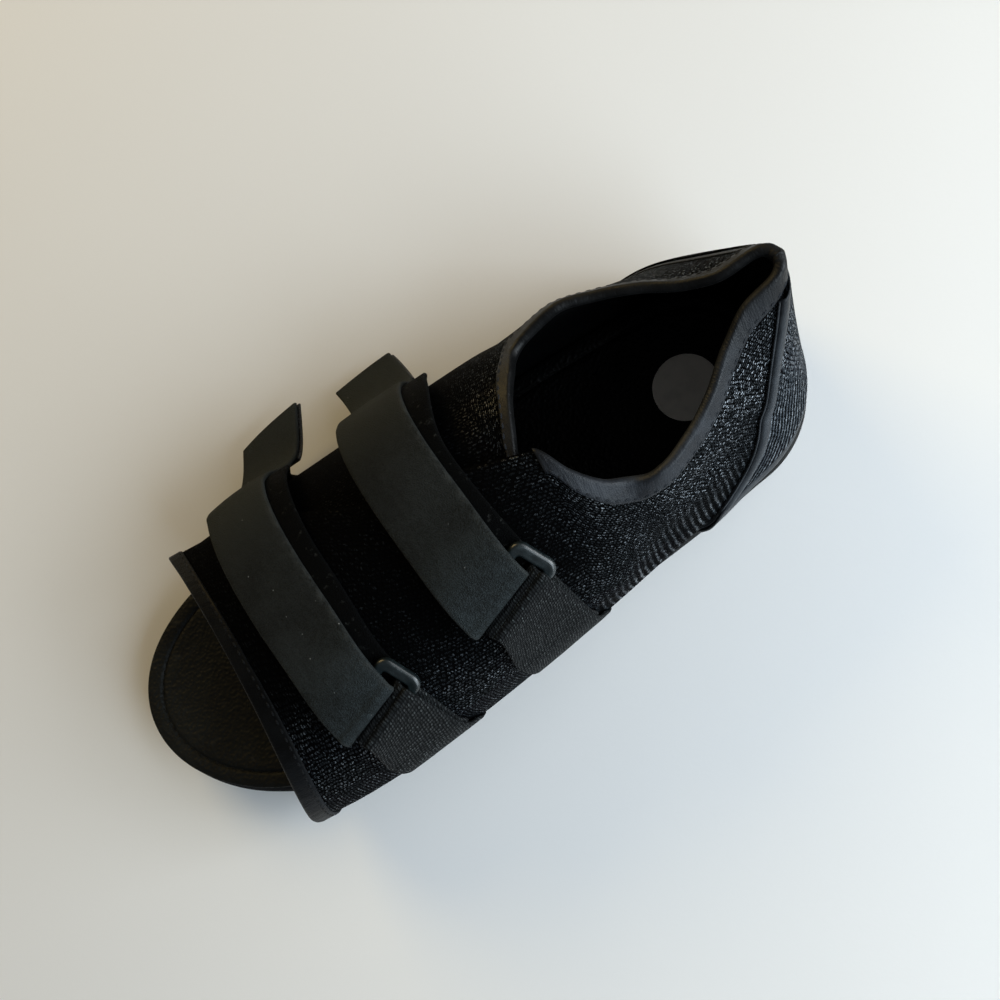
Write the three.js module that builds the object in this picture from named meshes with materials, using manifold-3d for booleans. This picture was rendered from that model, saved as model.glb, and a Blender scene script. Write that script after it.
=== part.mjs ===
import * as THREE from "three";
import Module from "manifold-3d";
import { mergeVertices } from "three/addons/utils/BufferGeometryUtils.js";

// Open-toed post operative shoe, heel at -X, toe at +X, sole on the ground plane.

// Driving sizes, mm.
const soleLength = 257;
const heelBack = 29;
const ballWidth = 92;
const upperWidth = 106;
const heelHeight = 78;
const instepHeight = 73;
const heelSoleHeight = 10;
const upperWall = 1.8;
const gap = 0.3;
const footbedRim = 2;
const tapeWidth = 6.5;
const tapeThickness = 0.7;
const strapWidth = 25.4;
const strapThickness = 1.7;
const webbingThickness = 1.5;
const ringBar = 3.2;
const ringThickness = 2.6;
const ringSpan = 15;
const barShift = 0.55;
const ringShift = 3.4;
const counterThickness = 1;
const seamWidth = 5;
const seamThickness = 1.6;
const hookThickness = 1.4;
const hookLength = 22;
const labelDiameter = 22;
const labelThickness = 0.3;
const grooveWidth = 3;
const grooveDepth = 2.2;
const groovePitch = 9.5;

// Grid densities.
const armStations = 34;
const wallRows = 10;
const soleStations = 44;

// Shares of the sole length that bound the rounded heel and the rounded toe.
const heelRound = 0.132;
const toeRound = 0.2325;
const frontBase = 0.842;

/** Monotone cubic interpolation of a table whose first column is the station. */
function makeTable(columns, rows) {
  const xs = rows.map((row) => row[0]);
  const out = {};
  for (let c = 1; c < columns.length; c += 1) {
    const ys = rows.map((row) => row[c]);
    const last = xs.length - 1;
    const step = [];
    for (let i = 0; i < last; i += 1) {
      step.push((ys[i + 1] - ys[i]) / (xs[i + 1] - xs[i]));
    }
    const slope = ys.map((y, i) => {
      if (i === 0) {
        return step[0];
      }
      if (i === last) {
        return step[last - 1];
      }
      const product = step[i - 1] * step[i];
      return product <= 0 ? 0 : (2 * product) / (step[i - 1] + step[i]);
    });
    out[columns[c]] = (x) => {
      if (x <= xs[0]) {
        return ys[0];
      }
      if (x >= xs[last]) {
        return ys[last];
      }
      let i = 0;
      while (x > xs[i + 1]) {
        i += 1;
      }
      const h = xs[i + 1] - xs[i];
      const t = (x - xs[i]) / h;
      const a = ys[i] * (1 + 2 * t) * (1 - t) * (1 - t) + slope[i] * h * t * (1 - t) * (1 - t);
      return a + ys[i + 1] * t * t * (3 - 2 * t) + slope[i + 1] * h * t * t * (t - 1);
    };
  }
  return out;
}

// Plan: halves are shares of half the ball width and half the upper width, the middle lines of the
// sole and of the upper are shares of the ball width.
const plan = makeTable(
  ["station", "sole", "upper", "spine", "shift"],
  [
    [0, 0.78, 0.667, 0, 0],
    [0.1167, 0.78, 0.68, 0, 0],
    [0.1896, 0.826, 0.735, 0, 0],
    [0.2594, 0.86, 0.783, 0, 0],
    [0.3447, 0.891, 0.832, 0.003, 0.007],
    [0.4731, 0.935, 0.892, 0.005, 0.018],
    [0.6159, 0.985, 0.945, 0.003, 0.023],
    [0.7052, 1, 0.972, -0.001, 0.022],
    [0.7679, 0.97, 0.975, -0.005, 0.018],
    [0.849, 0.96, 0.962, -0.014, 0.01],
    [1, 0.955, 0.96, -0.058, 0],
  ],
);

// Heights: sole top and bottom are shares of the heel sole height, crown of the instep height.
const profile = makeTable(
  ["station", "top", "bottom", "crown"],
  [
    [0, 1.02, 0.28, 1],
    [0.0294, 1.02, 0, 1],
    [0.2502, 0.98, 0, 1],
    [0.3067, 0.96, 0.14, 1],
    [0.3837, 0.93, 0.26, 0.99],
    [0.4402, 0.91, 0.2, 0.973],
    [0.5172, 0.89, 0, 0.93],
    [0.5891, 0.88, 0, 0.885],
    [0.6919, 0.9, 0, 0.815],
    [0.7381, 0.93, 0, 0.775],
    [0.774, 0.98, 0.07, 0.74],
    [0.849, 1.12, 0.32, 0.678],
    [1, 1.5, 0.95, 0.6],
  ],
);

// Collar edge: place along the sole, half opening of the upper width, height of the heel height.
const collar = makeTable(
  ["base", "place", "half", "height"],
  [
    [0, -0.023, 0, 1],
    [0.0095, -0.0179, 0.05, 0.998],
    [0.0275, -0.0025, 0.086, 0.985],
    [0.063, 0.0324, 0.104, 0.95],
    [0.105, 0.0735, 0.2, 0.9],
    [0.1475, 0.1167, 0.355, 0.867],
    [0.1988, 0.1588, 0.465, 0.853],
    [0.2502, 0.205, 0.538, 0.86],
    [0.2913, 0.2399, 0.538, 0.872],
    [0.3426, 0.2748, 0.5, 0.897],
  ],
);

// Edges of the two flaps: crown station and signed share of the half width, own side positive.
const outerFlap = makeTable(
  ["base", "crown", "edge"],
  [
    [0.2399, 0.1619, 0.74],
    [0.281, 0.204, 0.64],
    [0.3221, 0.2461, 0.53],
    [0.3529, 0.28, 0.35],
    [0.3837, 0.3057, 0.12],
    [0.4043, 0.3334, 0.05],
    [0.4453, 0.395, -0.08],
    [0.5378, 0.5018, -0.25],
    [0.5994, 0.5768, -0.45],
    [0.7124, 0.6857, -0.7],
    [0.849, 0.774, -0.84],
  ],
);
const innerFlap = makeTable(
  ["base", "crown", "edge"],
  [
    [0.2399, 0.1619, 0.74],
    [0.2913, 0.2522, 0.665],
    [0.3324, 0.2769, 0.48],
    [0.3632, 0.2985, 0.3],
    [0.394, 0.3293, -0.05],
    [0.4145, 0.3467, -0.24],
    [0.4453, 0.4043, -0.16],
    [0.5891, 0.5737, 0.1],
    [0.7124, 0.6919, 0.42],
    [0.849, 0.774, 0.7],
  ],
);

const roundness = 2.2;
const heelCurl = 1.6;
const bulgeRise = 8;
const flangeIn = 9;
const flangeOut = 3;
const lapRise = upperWall + tapeThickness * 2 + gap * 3 + 0.3;

const cornerBase = 0.3837;
const innerEndBase = 0.4145;

function smooth(a, b, x) {
  const t = Math.min(1, Math.max(0, (x - a) / (b - a)));
  return t * t * (3 - 2 * t);
}

function mix(a, b, t) {
  return a + (b - a) * t;
}

function placeX(station) {
  return station * soleLength - heelBack;
}

function stationOf(x) {
  return (x + heelBack) / soleLength;
}

/** Rounding of the plan at both ends. */
function endCap(station) {
  let cap = 1;
  if (station < heelRound) {
    cap *= Math.sqrt(Math.max(0, 1 - (1 - station / heelRound) ** 2));
  }
  if (station > 1 - toeRound) {
    cap *= Math.sqrt(Math.max(0, 1 - ((station - 1 + toeRound) / toeRound) ** 2));
  }
  return cap;
}

/** Half width of the sole outline moved inward by an inset. */
function insetHalf(station, inset) {
  const d = inset / soleLength;
  const body = plan.sole(station) * (ballWidth / 2) - inset;
  const heel = Math.min(1, Math.max(0, (station - d) / (heelRound - d)));
  const toe = Math.min(1, Math.max(0, (station - 1 + toeRound) / (toeRound - d)));
  return body * Math.sqrt(1 - (1 - heel) ** 2) * Math.sqrt(Math.max(0, 1 - toe ** 2));
}

/** The upper has no rounded toe: it is cut off before it. */
function heelCap(station) {
  return station < heelRound ? Math.sqrt(Math.max(0, 1 - (1 - station / heelRound) ** 2)) : 1;
}

function soleHalf(station) {
  return plan.sole(station) * (ballWidth / 2) * endCap(station);
}

function upperHalf(station) {
  return plan.upper(station) * (upperWidth / 2) * heelCap(station);
}

function spineY(station) {
  return plan.spine(station) * ballWidth;
}

function upperSpine(station) {
  return plan.shift(station) * ballWidth;
}

function soleTop(station) {
  return profile.top(station) * heelSoleHeight;
}

function soleBottom(station) {
  return profile.bottom(station) * heelSoleHeight;
}

function crownHeight(station) {
  return profile.crown(station) * instepHeight;
}

/** Station of the base outline at a turn angle round the heel, then straight along the side. */
function stationAt(turn) {
  const a = Math.abs(turn);
  return a < Math.PI / 2
    ? heelRound * (1 - Math.cos(a))
    : heelRound * (1 + a - Math.PI / 2);
}

function turnAt(station) {
  return station < heelRound
    ? Math.acos(1 - station / heelRound)
    : station / heelRound - 1 + Math.PI / 2;
}

const frontTurn = turnAt(frontBase);

function soleEdge(turn, inset) {
  const at = (t) => {
    const s = stationAt(t);
    return [placeX(s), spineY(s) + Math.sign(t) * soleHalf(s)];
  };
  const d = 0.01;
  const here = at(turn);
  const before = at(turn - d);
  const after = at(turn + d);
  const tx = after[0] - before[0];
  const ty = after[1] - before[1];
  const l = Math.hypot(tx, ty);
  return [here[0] + (ty / l) * inset, here[1] - (tx / l) * inset];
}

/** Point of the front section: angle 0 at the bulge, a right angle at the crown. */
function sectionPoint(station, side, angle, grow) {
  const c = Math.cos(angle);
  const wide = (upperHalf(station) + grow) * Math.sign(c) * Math.abs(c) ** (2 / roundness);
  const low = soleTop(station) + bulgeRise;
  const high = (crownHeight(station) - low + grow) * Math.abs(Math.sin(angle)) ** (2 / roundness);
  return new THREE.Vector3(placeX(station), upperSpine(station) + side * wide, low + high);
}

/** Middle surface of the upper above its bulge, rise 0 at the bulge and 1 at the free edge. */
function wallPoint(turn, rise) {
  const side = turn < 0 ? -1 : 1;
  const base = stationAt(turn);
  const rear = 1 - smooth(0.25, 0.312, base);
  const front = new THREE.Vector3();
  if (rear < 1) {
    const table = side > 0 ? outerFlap : innerFlap;
    const edge = table.edge(base);
    const top = Math.acos(Math.sign(edge) * Math.abs(edge) ** (roundness / 2));
    const angle = top * rise;
    const station = mix(base, table.crown(base), Math.sin(angle) ** 1.6);
    const lap = side > 0 ? lapRise * smooth(0.26, 0.363, base) * smooth(0, 0.4, rise) : 0;
    front.copy(sectionPoint(station, side, angle, lap));
  }
  if (rear === 0) {
    return front;
  }
  const low = soleTop(base) + bulgeRise;
  const curl = (u) => 1 - (1 - (0.86 * u) ** heelCurl) ** (1 / heelCurl);
  const lean = curl(rise) / curl(1);
  const x = mix(placeX(base), placeX(collar.place(base)), lean);
  const half = mix(upperHalf(base), collar.half(base) * (upperWidth / 2), lean);
  const z = mix(low, collar.height(base) * heelHeight, rise);
  const back = new THREE.Vector3(x, upperSpine(base) + side * half, z);
  return front.lerp(back, rear);
}

/** Middle surface of the upper, rows counted from the turned-in flange to the free edge. */
function upperPoint(turn, row) {
  const base = stationAt(turn);
  const flat = soleTop(base) + gap + upperWall / 2;
  if (row <= 1) {
    const [x, y] = soleEdge(turn, mix(flangeIn, flangeOut, row));
    return new THREE.Vector3(x, y, flat);
  }
  const bulge = wallPoint(turn, 0);
  if (row <= 4) {
    const t = (row - 1) / 3;
    const [x, y] = soleEdge(turn, flangeOut);
    const a = new THREE.Vector3(x, y, flat);
    const b = new THREE.Vector3(bulge.x, bulge.y, flat);
    a.multiplyScalar((1 - t) * (1 - t));
    a.addScaledVector(b, 2 * t * (1 - t));
    return a.addScaledVector(bulge, t * t);
  }
  return wallPoint(turn, (row - 4) / wallRows);
}

/** Unit normals of a grid of points. */
function gridNormals(grid) {
  const m = grid.length - 1;
  const n = grid[0].length - 1;
  return grid.map((line, i) =>
    line.map((_, j) => {
      const u = grid[Math.min(m, i + 1)][j].clone().sub(grid[Math.max(0, i - 1)][j]);
      const v = grid[i][Math.min(n, j + 1)].clone().sub(grid[i][Math.max(0, j - 1)]);
      return u.cross(v).normalize();
    }),
  );
}

function finish(positions, index) {
  const geometry = new THREE.BufferGeometry();
  geometry.setAttribute("position", new THREE.Float32BufferAttribute(positions, 3));
  geometry.setIndex(index);
  geometry.computeVertexNormals();
  return geometry;
}

/** Closed sheet between two offsets of a grid of points, the normal being row cross column. */
function sheetSolid(grid, from, to) {
  const normals = gridNormals(grid);
  const m = grid.length;
  const n = grid[0].length;
  const positions = [];
  for (const offset of [to, from]) {
    for (let i = 0; i < m; i += 1) {
      for (let j = 0; j < n; j += 1) {
        const p = grid[i][j].clone().addScaledVector(normals[i][j], offset);
        positions.push(p.x, p.y, p.z);
      }
    }
  }
  const at = (layer, i, j) => layer * m * n + i * n + j;
  const index = [];
  const quad = (a, b, c, d) => index.push(a, b, c, a, c, d);
  for (let i = 0; i < m - 1; i += 1) {
    for (let j = 0; j < n - 1; j += 1) {
      quad(at(0, i, j), at(0, i + 1, j), at(0, i + 1, j + 1), at(0, i, j + 1));
      quad(at(1, i, j), at(1, i, j + 1), at(1, i + 1, j + 1), at(1, i + 1, j));
    }
    quad(at(0, i, 0), at(1, i, 0), at(1, i + 1, 0), at(0, i + 1, 0));
    quad(at(0, i, n - 1), at(0, i + 1, n - 1), at(1, i + 1, n - 1), at(1, i, n - 1));
  }
  for (let j = 0; j < n - 1; j += 1) {
    quad(at(0, 0, j), at(0, 0, j + 1), at(1, 0, j + 1), at(1, 0, j));
    quad(at(0, m - 1, j), at(1, m - 1, j), at(1, m - 1, j + 1), at(0, m - 1, j + 1));
  }
  return finish(positions, index);
}

/** Closed solid through rings of points with the same count, capped by the given triangles. */
function loftSolid(rings, cap) {
  const n = rings[0].length;
  const positions = [];
  for (const ring of rings) {
    for (const p of ring) {
      positions.push(p.x, p.y, p.z);
    }
  }
  const index = [];
  for (let i = 0; i < rings.length - 1; i += 1) {
    for (let j = 0; j < n; j += 1) {
      const k = (j + 1) % n;
      const a = i * n;
      const b = (i + 1) * n;
      index.push(a + j, a + k, b + k, a + j, b + k, b + j);
    }
  }
  const end = (rings.length - 1) * n;
  for (const [a, b, c] of cap) {
    index.push(a, c, b);
    index.push(end + a, end + b, end + c);
  }
  return finish(positions, index);
}

const wasm = await Module();
wasm.setup();

function toManifold(geometry) {
  const plain = geometry.clone();
  plain.deleteAttribute("normal");
  plain.deleteAttribute("uv");
  const merged = mergeVertices(plain, 1e-5);
  return new wasm.Manifold(
    new wasm.Mesh({
      numProp: 3,
      vertProperties: new Float32Array(merged.attributes.position.array),
      triVerts: new Uint32Array(merged.index.array),
    }),
  );
}

function fromManifold(manifold) {
  const mesh = manifold.getMesh();
  const positions = [];
  for (let i = 0; i < mesh.vertProperties.length; i += mesh.numProp) {
    positions.push(
      mesh.vertProperties[i],
      mesh.vertProperties[i + 1],
      mesh.vertProperties[i + 2],
    );
  }
  return finish(positions, Array.from(mesh.triVerts));
}

/** Stations from heel to toe, closer together at the rounded ends. */
function spreadStations(count, from, to) {
  const out = [];
  for (let i = 0; i <= count; i += 1) {
    const t = i / count;
    const eased = t - Math.sin(2 * Math.PI * t) * 0.135;
    out.push(mix(from, to, eased));
  }
  return out;
}

/** Outsole: stepped side, flat spots at heel and ball, raised arch and toe, cross grooves. */
function buildOutsole() {
  const rings = spreadStations(soleStations, 0.0012, 0.9988).map((s) => {
    const half = soleHalf(s);
    const top = soleTop(s);
    const low = soleBottom(s);
    const c = spineY(s);
    const tall = top - low;
    const side = [
      [half, 0],
      [half + 0.9, 0.1],
      [half + 0.9, 0.32],
      [half + 0.2, 0.4],
      [half + 0.2, 0.48],
      [half + 1.5, 0.62],
      [half + 1.1, 0.86],
      [half - 0.9, 1],
    ];
    const narrow = Math.min(1, half / 8);
    const right = side.map(([y, share]) => {
      const reach = half + (y - half) * narrow;
      return new THREE.Vector3(placeX(s), c - reach, top - share * tall);
    });
    const left = side.map(([y, share]) => {
      const reach = half + (y - half) * narrow;
      return new THREE.Vector3(placeX(s), c + reach, top - share * tall);
    });
    return [...left.reverse(), ...right];
  });
  const cap = [];
  for (let k = 0; k < 7; k += 1) {
    cap.push([k, k + 1, 15 - k]);
    cap.push([k + 1, 14 - k, 15 - k]);
  }
  let body = toManifold(loftSolid(rings, cap));
  for (const [from, to] of [
    [0.085, 0.22],
    [0.522, 0.895],
  ]) {
    const count = Math.floor(((to - from) * soleLength) / groovePitch);
    for (let k = 0; k <= count; k += 1) {
      const s = mix(from, to, k / count);
      const half = Math.min(soleHalf(s - 0.01), soleHalf(s + 0.01)) - 6;
      const box = new THREE.BoxGeometry(grooveWidth, half * 2, grooveDepth * 2);
      box.translate(placeX(s), spineY(s), soleBottom(s));
      body = body.subtract(toManifold(box));
    }
  }
  return fromManifold(body);
}

/** Footbed: rests on the outsole inside the flange and on the flange at its rim. */
function buildFootbed() {
  const covered = flangeOut + 1.5;
  const inside = flangeIn + gap + 0.6;
  const bare = 1;
  const heelCut = (inside + 0.8) / soleLength;
  const toeCut = frontBase + 0.006;
  const cuts = [heelCut - 0.001, heelCut + 0.001, toeCut - 0.002, toeCut + 0.002];
  const first = (covered + 0.15) / soleLength;
  const last = 1 - (bare + 0.15) / soleLength;
  const all = spreadStations(36, first, last).filter((s) =>
    cuts.every((cut) => Math.abs(s - cut) > 0.005),
  );
  all.push(...cuts);
  all.sort((a, b) => a - b);
  const rings = all.map((s) => {
    const open = s > toeCut ? 1 : 0;
    const rim = insetHalf(s, mix(covered, bare, open));
    const plugged = s > heelCut;
    const plug = plugged ? insetHalf(s, mix(inside, bare + 0.4, open)) : rim * 0.5;
    const narrow = Math.min(1, rim / 14);
    const shelf = soleTop(s) + upperWall + gap * 2;
    const seat = plugged ? soleTop(s) + gap : shelf - 0.02;
    const top = shelf + footbedRim;
    const right = [
      [plug, seat],
      [plug + 0.01, shelf],
      [rim, shelf],
      [rim, top - 0.6],
      [rim - 0.7 * narrow, top],
      [rim - 8 * narrow, top],
      [rim - 9 * narrow, top - 0.5],
    ];
    const c = spineY(s);
    const x = placeX(s);
    const a = right.map(([y, z]) => new THREE.Vector3(x, c + y, z));
    const b = right.map(([y, z]) => new THREE.Vector3(x, c - y, z));
    return [...a, ...b.reverse()];
  });
  const cap = [
    [0, 1, 13],
    [1, 12, 13],
    [1, 2, 3],
    [1, 3, 4],
    [1, 4, 5],
    [1, 5, 6],
    [1, 6, 7],
    [1, 7, 12],
    [7, 8, 12],
    [8, 9, 12],
    [9, 10, 12],
    [10, 11, 12],
  ];
  return loftSolid(rings, cap);
}

/** Turn angles of the base outline from the left front to the right front, flap corners among them. */
function upperTurns() {
  const arm = (keys) => {
    const marks = [0, ...keys.map(turnAt), frontTurn];
    const out = [];
    for (let k = 0; k < marks.length - 1; k += 1) {
      const share = (marks[k + 1] - marks[k]) / frontTurn;
      const count = Math.max(2, Math.round(armStations * share));
      for (let i = 0; i < count; i += 1) {
        out.push(mix(marks[k], marks[k + 1], i / count));
      }
    }
    out.push(frontTurn);
    return out;
  };
  const left = arm([cornerBase]);
  const right = arm([innerEndBase]);
  return [...left.reverse(), ...right.slice(1).map((t) => -t)];
}

const turns = upperTurns();
const rowCount = 4 + wallRows;
const upperGrid = turns.map((turn) => {
  const line = [];
  for (let row = 0; row <= rowCount; row += 1) {
    line.push(upperPoint(turn, row));
  }
  return line;
});
const upperNormals = gridNormals(upperGrid);

/** Point beside a face of the upper's own mesh at fractional grid places, signed offset. */
function gridPoint(i, row, offset) {
  const lastColumn = turns.length - 1;
  const a = Math.min(lastColumn - 1, Math.max(0, Math.floor(i)));
  const b = Math.min(rowCount - 1, Math.max(0, Math.floor(row)));
  const at = (k, r) => upperGrid[k][r].clone().addScaledVector(upperNormals[k][r], offset);
  const low = at(a, b).lerp(at(a + 1, b), i - a);
  const high = at(a, b + 1).lerp(at(a + 1, b + 1), i - a);
  return low.lerp(high, row - b);
}

/** Folded tape over a free edge: each place holds the grid points from the edge inwards. */
function tapeSolid(places) {
  const near = upperWall / 2 + gap * 1.5;
  const inner = near + gap * 0.5;
  const far = near + tapeThickness;
  const rings = places.map((marks) => {
    const side = (offset) => marks.map(([i, row]) => gridPoint(i, row, offset));
    const [edge, next] = marks.map(([i, row]) => gridPoint(i, row, 0));
    const out = edge.clone().sub(next).normalize();
    const push = (line, distance) => {
      line[0].addScaledVector(out, distance);
      return line;
    };
    return [
      ...push(side(near), gap).reverse(),
      ...push(side(-inner), gap),
      ...push(side(-inner - tapeThickness), gap + tapeThickness).reverse(),
      ...push(side(far), gap + tapeThickness),
    ];
  });
  const n = rings[0].length / 4;
  const cap = [];
  for (let k = 0; k < n - 1; k += 1) {
    cap.push([k, k + 1, 4 * n - 1 - k]);
    cap.push([k + 1, 4 * n - 2 - k, 4 * n - 1 - k]);
    cap.push([n + k, n + k + 1, 3 * n - 1 - k]);
    cap.push([n + k + 1, 3 * n - 2 - k, 3 * n - 1 - k]);
  }
  cap.push([n - 1, n, 3 * n]);
  cap.push([n, 3 * n - 1, 3 * n]);
  return loftSolid(rings, cap);
}

/** Tape places down from the free edge between two turn angles, left to right. */
function topTape(from, to) {
  const out = [];
  turns.forEach((turn, i) => {
    if (turn <= from + 1e-6 && turn >= to - 1e-6) {
      const step = upperGrid[i][rowCount].distanceTo(upperGrid[i][rowCount - 1]);
      const far = tapeWidth / step;
      const rows = [0, Math.min(1, far / 3), Math.min(2, (far * 2) / 3), far];
      out.push(rows.map((r) => [i, rowCount - r]));
    }
  });
  return out;
}

/** Tape places back from the front edge of one arm between two rows. */
function frontTape(side, fromRow, toRow) {
  const edge = side > 0 ? 0 : turns.length - 1;
  const out = [];
  for (let row = fromRow; row <= toRow; row += 1) {
    const step = upperGrid[edge][row].distanceTo(upperGrid[edge + side][row]);
    const far = tapeWidth / step;
    const columns = far > 1 ? [0, 1, far] : [0, far / 2, far];
    out.push(columns.map((c) => [edge + side * c, row]));
  }
  return side > 0 ? out : out.reverse();
}

/** Point on the outer face of the upper, raised by a lift, at any turn and row. */
function facePoint(turn, row, lift) {
  const d = 0.02;
  const e = 0.05;
  const u = upperPoint(turn - d, row).sub(upperPoint(turn + d, row));
  const v = upperPoint(turn, Math.min(rowCount, row + e)).sub(upperPoint(turn, row - e));
  const normal = u.cross(v).normalize();
  return upperPoint(turn, row).addScaledVector(normal, upperWall / 2 + lift);
}

/** Millimetres along the outline for one unit of turn. */
function turnSpeed(turn, row) {
  return upperPoint(turn + 0.02, row).distanceTo(upperPoint(turn - 0.02, row)) / 0.04;
}

/** Highest row left free below the collar tape. */
function rowBelowTape(turn) {
  const rowLength = upperPoint(turn, rowCount).distanceTo(upperPoint(turn, rowCount - 1));
  return rowCount - (tapeWidth + gap * 3) / rowLength;
}

// Line of the heel seam: turn angle of the outline against the share of the rows.
const seamLine = makeTable(
  ["row", "turn"],
  [
    [0.13, 2.34],
    [0.31, 2.02],
    [0.49, 1.6],
    [0.69, 1.22],
    [0.88, 0.8],
    [1, 0.55],
  ],
);

const seamLow = 2.4;
const seamRows = 12;

function seamTurn(row) {
  return seamLine.turn(row / rowCount);
}

/** Raised tape along the heel seam of one side. */
function buildSeam(side) {
  const high = rowBelowTape(seamTurn(rowCount - 1));
  const grid = [];
  for (let i = 0; i <= seamRows; i += 1) {
    const row = mix(seamLow, high, i / seamRows);
    const turn = seamTurn(row);
    const wide = seamWidth / turnSpeed(turn, row);
    const line = [];
    for (let j = 0; j <= 3; j += 1) {
      line.push(facePoint(side * (turn - (wide * j) / 3), row, gap * 1.5));
    }
    grid.push(side > 0 ? line : line.reverse());
  }
  return sheetSolid(grid.reverse(), 0, seamThickness);
}

/** Heel panel between the two seams. */
function buildCounter() {
  const grid = [];
  const columns = 18;
  for (let j = 0; j <= columns; j += 1) {
    const across = 1 - (2 * j) / columns;
    const line = [];
    for (let i = 0; i <= seamRows; i += 1) {
      const first = seamTurn(mix(seamLow, rowCount, i / seamRows));
      const high = rowBelowTape(first * across);
      const row = mix(seamLow + 0.2, high, i / seamRows);
      const turn = seamTurn(row);
      const reach = turn - (seamWidth + gap * 2) / turnSpeed(turn, row);
      line.push(facePoint(across * reach, row, gap * 1.5));
    }
    grid.push(line);
  }
  return sheetSolid(grid, 0, counterThickness);
}

/** Place on a strap layer: section of the closed upper at x, with its directions. */
function layerFrame(x, angle, lift) {
  const station = stationOf(x);
  const edge = outerFlap.edge(station + 0.03);
  const lapEnd = Math.acos(Math.sign(edge) * Math.abs(edge) ** (roundness / 2));
  const settled = Math.max(lapEnd + 0.4, Math.PI - 0.15);
  const fade = (a) => smooth(-0.05, 0.36, a / lapEnd) * (1 - smooth(lapEnd + 0.05, settled, a));
  const lap = (a) => lapRise * fade(a);
  const at = (a) => sectionPoint(station, 1, a, lap(a) + upperWall / 2 + lift);
  const point = at(angle);
  const down = at(angle - 0.01).sub(at(angle + 0.01)).normalize();
  const out = new THREE.Vector3(0, -down.z, down.y);
  return { point, down, out };
}

const turnRadius = ringThickness / 2 + gap * 2 + strapThickness / 2;
const webbingRadius = ringThickness / 2 + gap + webbingThickness / 2 + 0.1;
const barSpread = ringSpan - ringBar * 2 + barShift * 2;
const slack = barSpread - webbingRadius - webbingThickness / 2 - turnRadius - strapThickness / 2 - gap;
const layerLift = gap * 1.8 + strapThickness / 2;
const layerStep = strapThickness + gap;

// Path of a free end past the last point on the shoe, shares of the instep height: outward,
// down, toward the heel.
const freeEnd = {
  front: [
    [-0.05, -0.09, 0.005],
    [-0.085, -0.2, 0.015],
    [-0.13, -0.31, 0.03],
    [-0.19, -0.4, 0.055],
    [-0.27, -0.455, 0.085],
    [-0.36, -0.49, 0.12],
    [-0.45, -0.52, 0.155],
  ],
  rear: [
    [-0.06, -0.1, 0],
    [-0.1, -0.22, -0.004],
    [-0.14, -0.34, -0.012],
    [-0.2, -0.45, -0.025],
    [-0.28, -0.54, -0.045],
    [-0.37, -0.61, -0.065],
    [-0.45, -0.66, -0.085],
  ],
};

// Places of the two straps: middle x as a share of the sole length, slant across the foot, angle
// of the ring and how much lower it sits at the toe side, angle where the top layer leaves the far
// side, angle of the sewn end.
const straps = {
  front: { place: 0.659, slant: -0.1, ring: 1.02, tilt: 0.1, leave: 2.42, start: 3.1 },
  rear: { place: 0.437, slant: -0.1, ring: 1.04, tilt: 0.1, leave: 2.42, start: 3.1 },
};

/** Middle line of one edge of a strap: sewn end, over the foot, round the ring bar and back. */
function strapLine(which, edge) {
  const { place, slant, ring, tilt, leave, start } = straps[which];
  const middle = place * soleLength - heelBack;
  const turn = ring - (tilt * edge) / 2;
  const lean = (tilt * upperWidth) / 2 / strapWidth;
  const pinch = edge > 0 ? ringShift + gap * 5 : 0;
  const xAt = (angle) => {
    const y = sectionPoint(place, 1, angle, lapRise).y;
    return middle + (edge * strapWidth) / 2 + slant * y;
  };
  const line = [];
  const first = layerFrame(xAt(start), start, layerLift).point;
  line.push(first.clone().add(new THREE.Vector3(0, 0, -bulgeRise * 0.55)));
  const steps = 17;
  for (let i = 0; i <= steps; i += 1) {
    const angle = mix(start, turn, i / steps);
    const drawn = pinch * (1 - smooth(turn, turn + 0.4, angle));
    line.push(layerFrame(xAt(angle) - drawn, angle, layerLift).point);
  }
  const bar = layerFrame(xAt(turn) - pinch, turn, layerLift + turnRadius);
  const turnAtPoint = line.length + 3;
  for (let i = 0; i <= 6; i += 1) {
    const a = (Math.PI * i) / 6;
    const p = bar.point.clone().addScaledVector(bar.out, -Math.cos(a) * turnRadius);
    p.addScaledVector(bar.down, slack + Math.sin(a) * turnRadius);
    p.x += pinch * smooth(0.8, 1, i / 6) - lean * (slack + Math.sin(a) * turnRadius);
    line.push(p);
  }
  let last = null;
  for (let i = 0; i <= steps; i += 1) {
    const angle = mix(turn, leave, i / steps);
    const wide = (turnRadius * 2 - layerStep) * (1 - smooth(turn + 0.05, turn + 0.5, angle));
    last = layerFrame(xAt(angle), angle, layerLift + layerStep + wide).point;
    line.push(last);
  }
  for (const [out, drop, drift] of freeEnd[which]) {
    const step = new THREE.Vector3(slant * out * 0.6 - drift, out, drop);
    line.push(last.clone().addScaledVector(step, instepHeight));
  }
  return { line, bar, turnAt: turnAtPoint };
}

/** Point and directions of a ring: U along its bars, D down the side, N outward. */
function ringFrame(which) {
  const heel = strapLine(which, -1).bar;
  const toe = strapLine(which, 1).bar;
  const origin = heel.point.clone().lerp(toe.point, 0.5);
  const u = toe.point.clone().sub(heel.point).normalize();
  origin.addScaledVector(u, -ringShift / 2);
  const n = u.clone().cross(heel.down).normalize();
  if (n.y < 0) {
    n.negate();
  }
  const d = n.clone().cross(u).normalize();
  if (d.z > 0) {
    d.negate();
  }
  return { origin, u, d, n };
}

function refine(line, times) {
  const curve = new THREE.CatmullRomCurve3(line, false, "centripetal");
  return curve.getPoints(line.length * times);
}

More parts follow.
